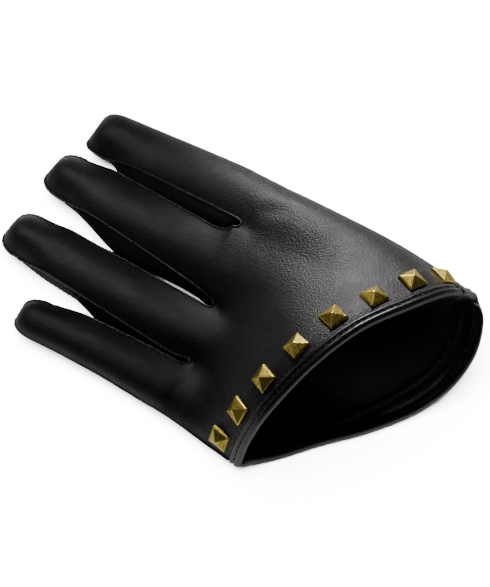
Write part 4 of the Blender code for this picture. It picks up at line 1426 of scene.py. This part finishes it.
def add_camera():
    """The camera, on a sphere round its target and rolled about its own axis."""
    sin_az, cos_az = math.sin(CAMERA_AZIMUTH), math.cos(CAMERA_AZIMUTH)
    sin_el, cos_el = math.sin(CAMERA_ELEVATION), math.cos(CAMERA_ELEVATION)
    back = Vector((sin_az * cos_el, -cos_az * cos_el, sin_el))
    right = Vector((cos_az, sin_az, 0))
    up = back.cross(right)
    sin_roll, cos_roll = math.sin(CAMERA_ROLL), math.cos(CAMERA_ROLL)
    axes = Matrix((right * cos_roll + up * sin_roll, up * cos_roll - right * sin_roll, back))
    data = bpy.data.cameras.new("camera")
    data.lens = CAMERA_LENS
    data.sensor_width = 36.0
    data.clip_start = 0.01
    data.clip_end = 20.0
    camera = bpy.data.objects.new("camera", data)
    camera.matrix_world = (Matrix.Translation(Vector(CAMERA_TARGET) + back * CAMERA_DISTANCE)
                           @ axes.transposed().to_4x4())
    bpy.context.scene.collection.objects.link(camera)
    bpy.context.scene.camera = camera


def add_light(name, place, target, size, power, color=(1, 1, 1), spread=180):
    """A rectangular lamp turned to its target; spread is in degrees."""
    data = bpy.data.lights.new(name, "AREA")
    data.shape = "RECTANGLE"
    data.size, data.size_y = size
    data.energy = power
    data.spread = math.radians(spread)
    data.color = color
    light = bpy.data.objects.new(name, data)
    light.location = place
    light.rotation_euler = (Vector(target) - Vector(place)).to_track_quat("-Z", "Y").to_euler()
    bpy.context.scene.collection.objects.link(light)
    return light


def add_softbox(name, target, direction, distance, size, power):
    """A gridded softbox that lights one part of the glove."""
    place = target + Vector(direction).normalized() * distance
    add_light(name, place, target, (size, size), power, (1.0, 0.975, 0.975), SOFTBOX_SPREAD)


def floor_material():
    """White cloth-covered board, seen only from above, which throws little light back up."""
    nodes = Nodes("pale_floor")
    weave = nodes.cells(1.1 * MM, 0.05)
    color = nodes.blend(nodes.noise(30 * MM, 2), (0.86, 0.86, 0.86), (0.90, 0.90, 0.895))
    nodes.finish(color, 0.8, nodes.bump(weave, 0.06 * MM))
    back = nodes.add("ShaderNodeNewGeometry").outputs["Backfacing"]
    clear = nodes.add("ShaderNodeBsdfTransparent").outputs["BSDF"]
    swap = nodes.add("ShaderNodeMixShader")
    nodes.feed(swap, 0, back)
    nodes.feed(swap, 2, clear)
    dim = nodes.add("ShaderNodeBsdfDiffuse")
    dim.inputs["Color"].default_value = (0.06, 0.06, 0.06, 1)
    seen = nodes.add("ShaderNodeLightPath").outputs["Is Camera Ray"]
    choice = nodes.add("ShaderNodeMixShader")
    nodes.feed(choice, 0, seen)
    nodes.feed(choice, 1, dim.outputs["BSDF"])
    nodes.feed(choice, 2, nodes.shader.outputs["BSDF"])
    nodes.feed(swap, 1, choice.outputs["Shader"])
    output = nodes.tree.nodes["Material Output"]
    nodes.tree.links.new(swap.outputs["Shader"], output.inputs["Surface"])
    return nodes.material


# The places that the two softboxes are turned to, and how narrow their light is in degrees.
HAND_BACK = Vector((0.045, -0.040, 0.035))
FINGER_MIDDLE = Vector((0.0, 0.055, 0.012))
SOFTBOX_SPREAD = 20


def add_stage():
    """Floor, world and lamps; the strongest lamp lights only the floor."""
    bpy.ops.mesh.primitive_plane_add(size=6.0, location=(0, 0, FLOOR_LEVEL))
    floor = bpy.context.object
    floor.name = "floor"
    floor.data.materials.append(floor_material())
    world = bpy.data.worlds.new("studio")
    world.use_nodes = True
    world.node_tree.nodes["Background"].inputs["Color"].default_value = (0.95, 0.97, 1.0, 1)
    world.node_tree.nodes["Background"].inputs["Strength"].default_value = 0.02
    bpy.context.scene.world = world
    middle = Vector((0.0, 0.0, 0.01))
    add_softbox("hand_softbox", HAND_BACK, (0.62, 0.58, 0.53), 0.25, 0.10, 0.064)
    add_softbox("finger_softbox", FINGER_MIDDLE, (0.10, 0.45, 0.88), 0.40, 0.12, 0.027)
    add_light("room", middle + Vector((-0.3, 0.2, 0.93)), middle, (0.5, 0.5), 0.35,
              (1.0, 0.96, 0.985))
    add_light("side", middle + Vector((0.9, 0.15, 0.5)), middle, (0.5, 0.5), 0.7,
              (1.0, 0.97, 0.985))
    over_floor = add_light("over_floor", (0.1, 0.2, 1.2), middle, (1.2, 1.2), 380)
    receivers = bpy.data.collections.new("lit_by_over_floor")
    receivers.objects.link(floor)
    over_floor.light_linking.receiver_collection = receivers


glove = Glove()
glove.build_leather()
glove.build_lining()
glove.build_seams()
glove.build_cuff()
build_thumb(glove)
for stud in range(1, STUD_COUNT + 1):
    build_stud(glove, stud)
add_stage()
add_camera()
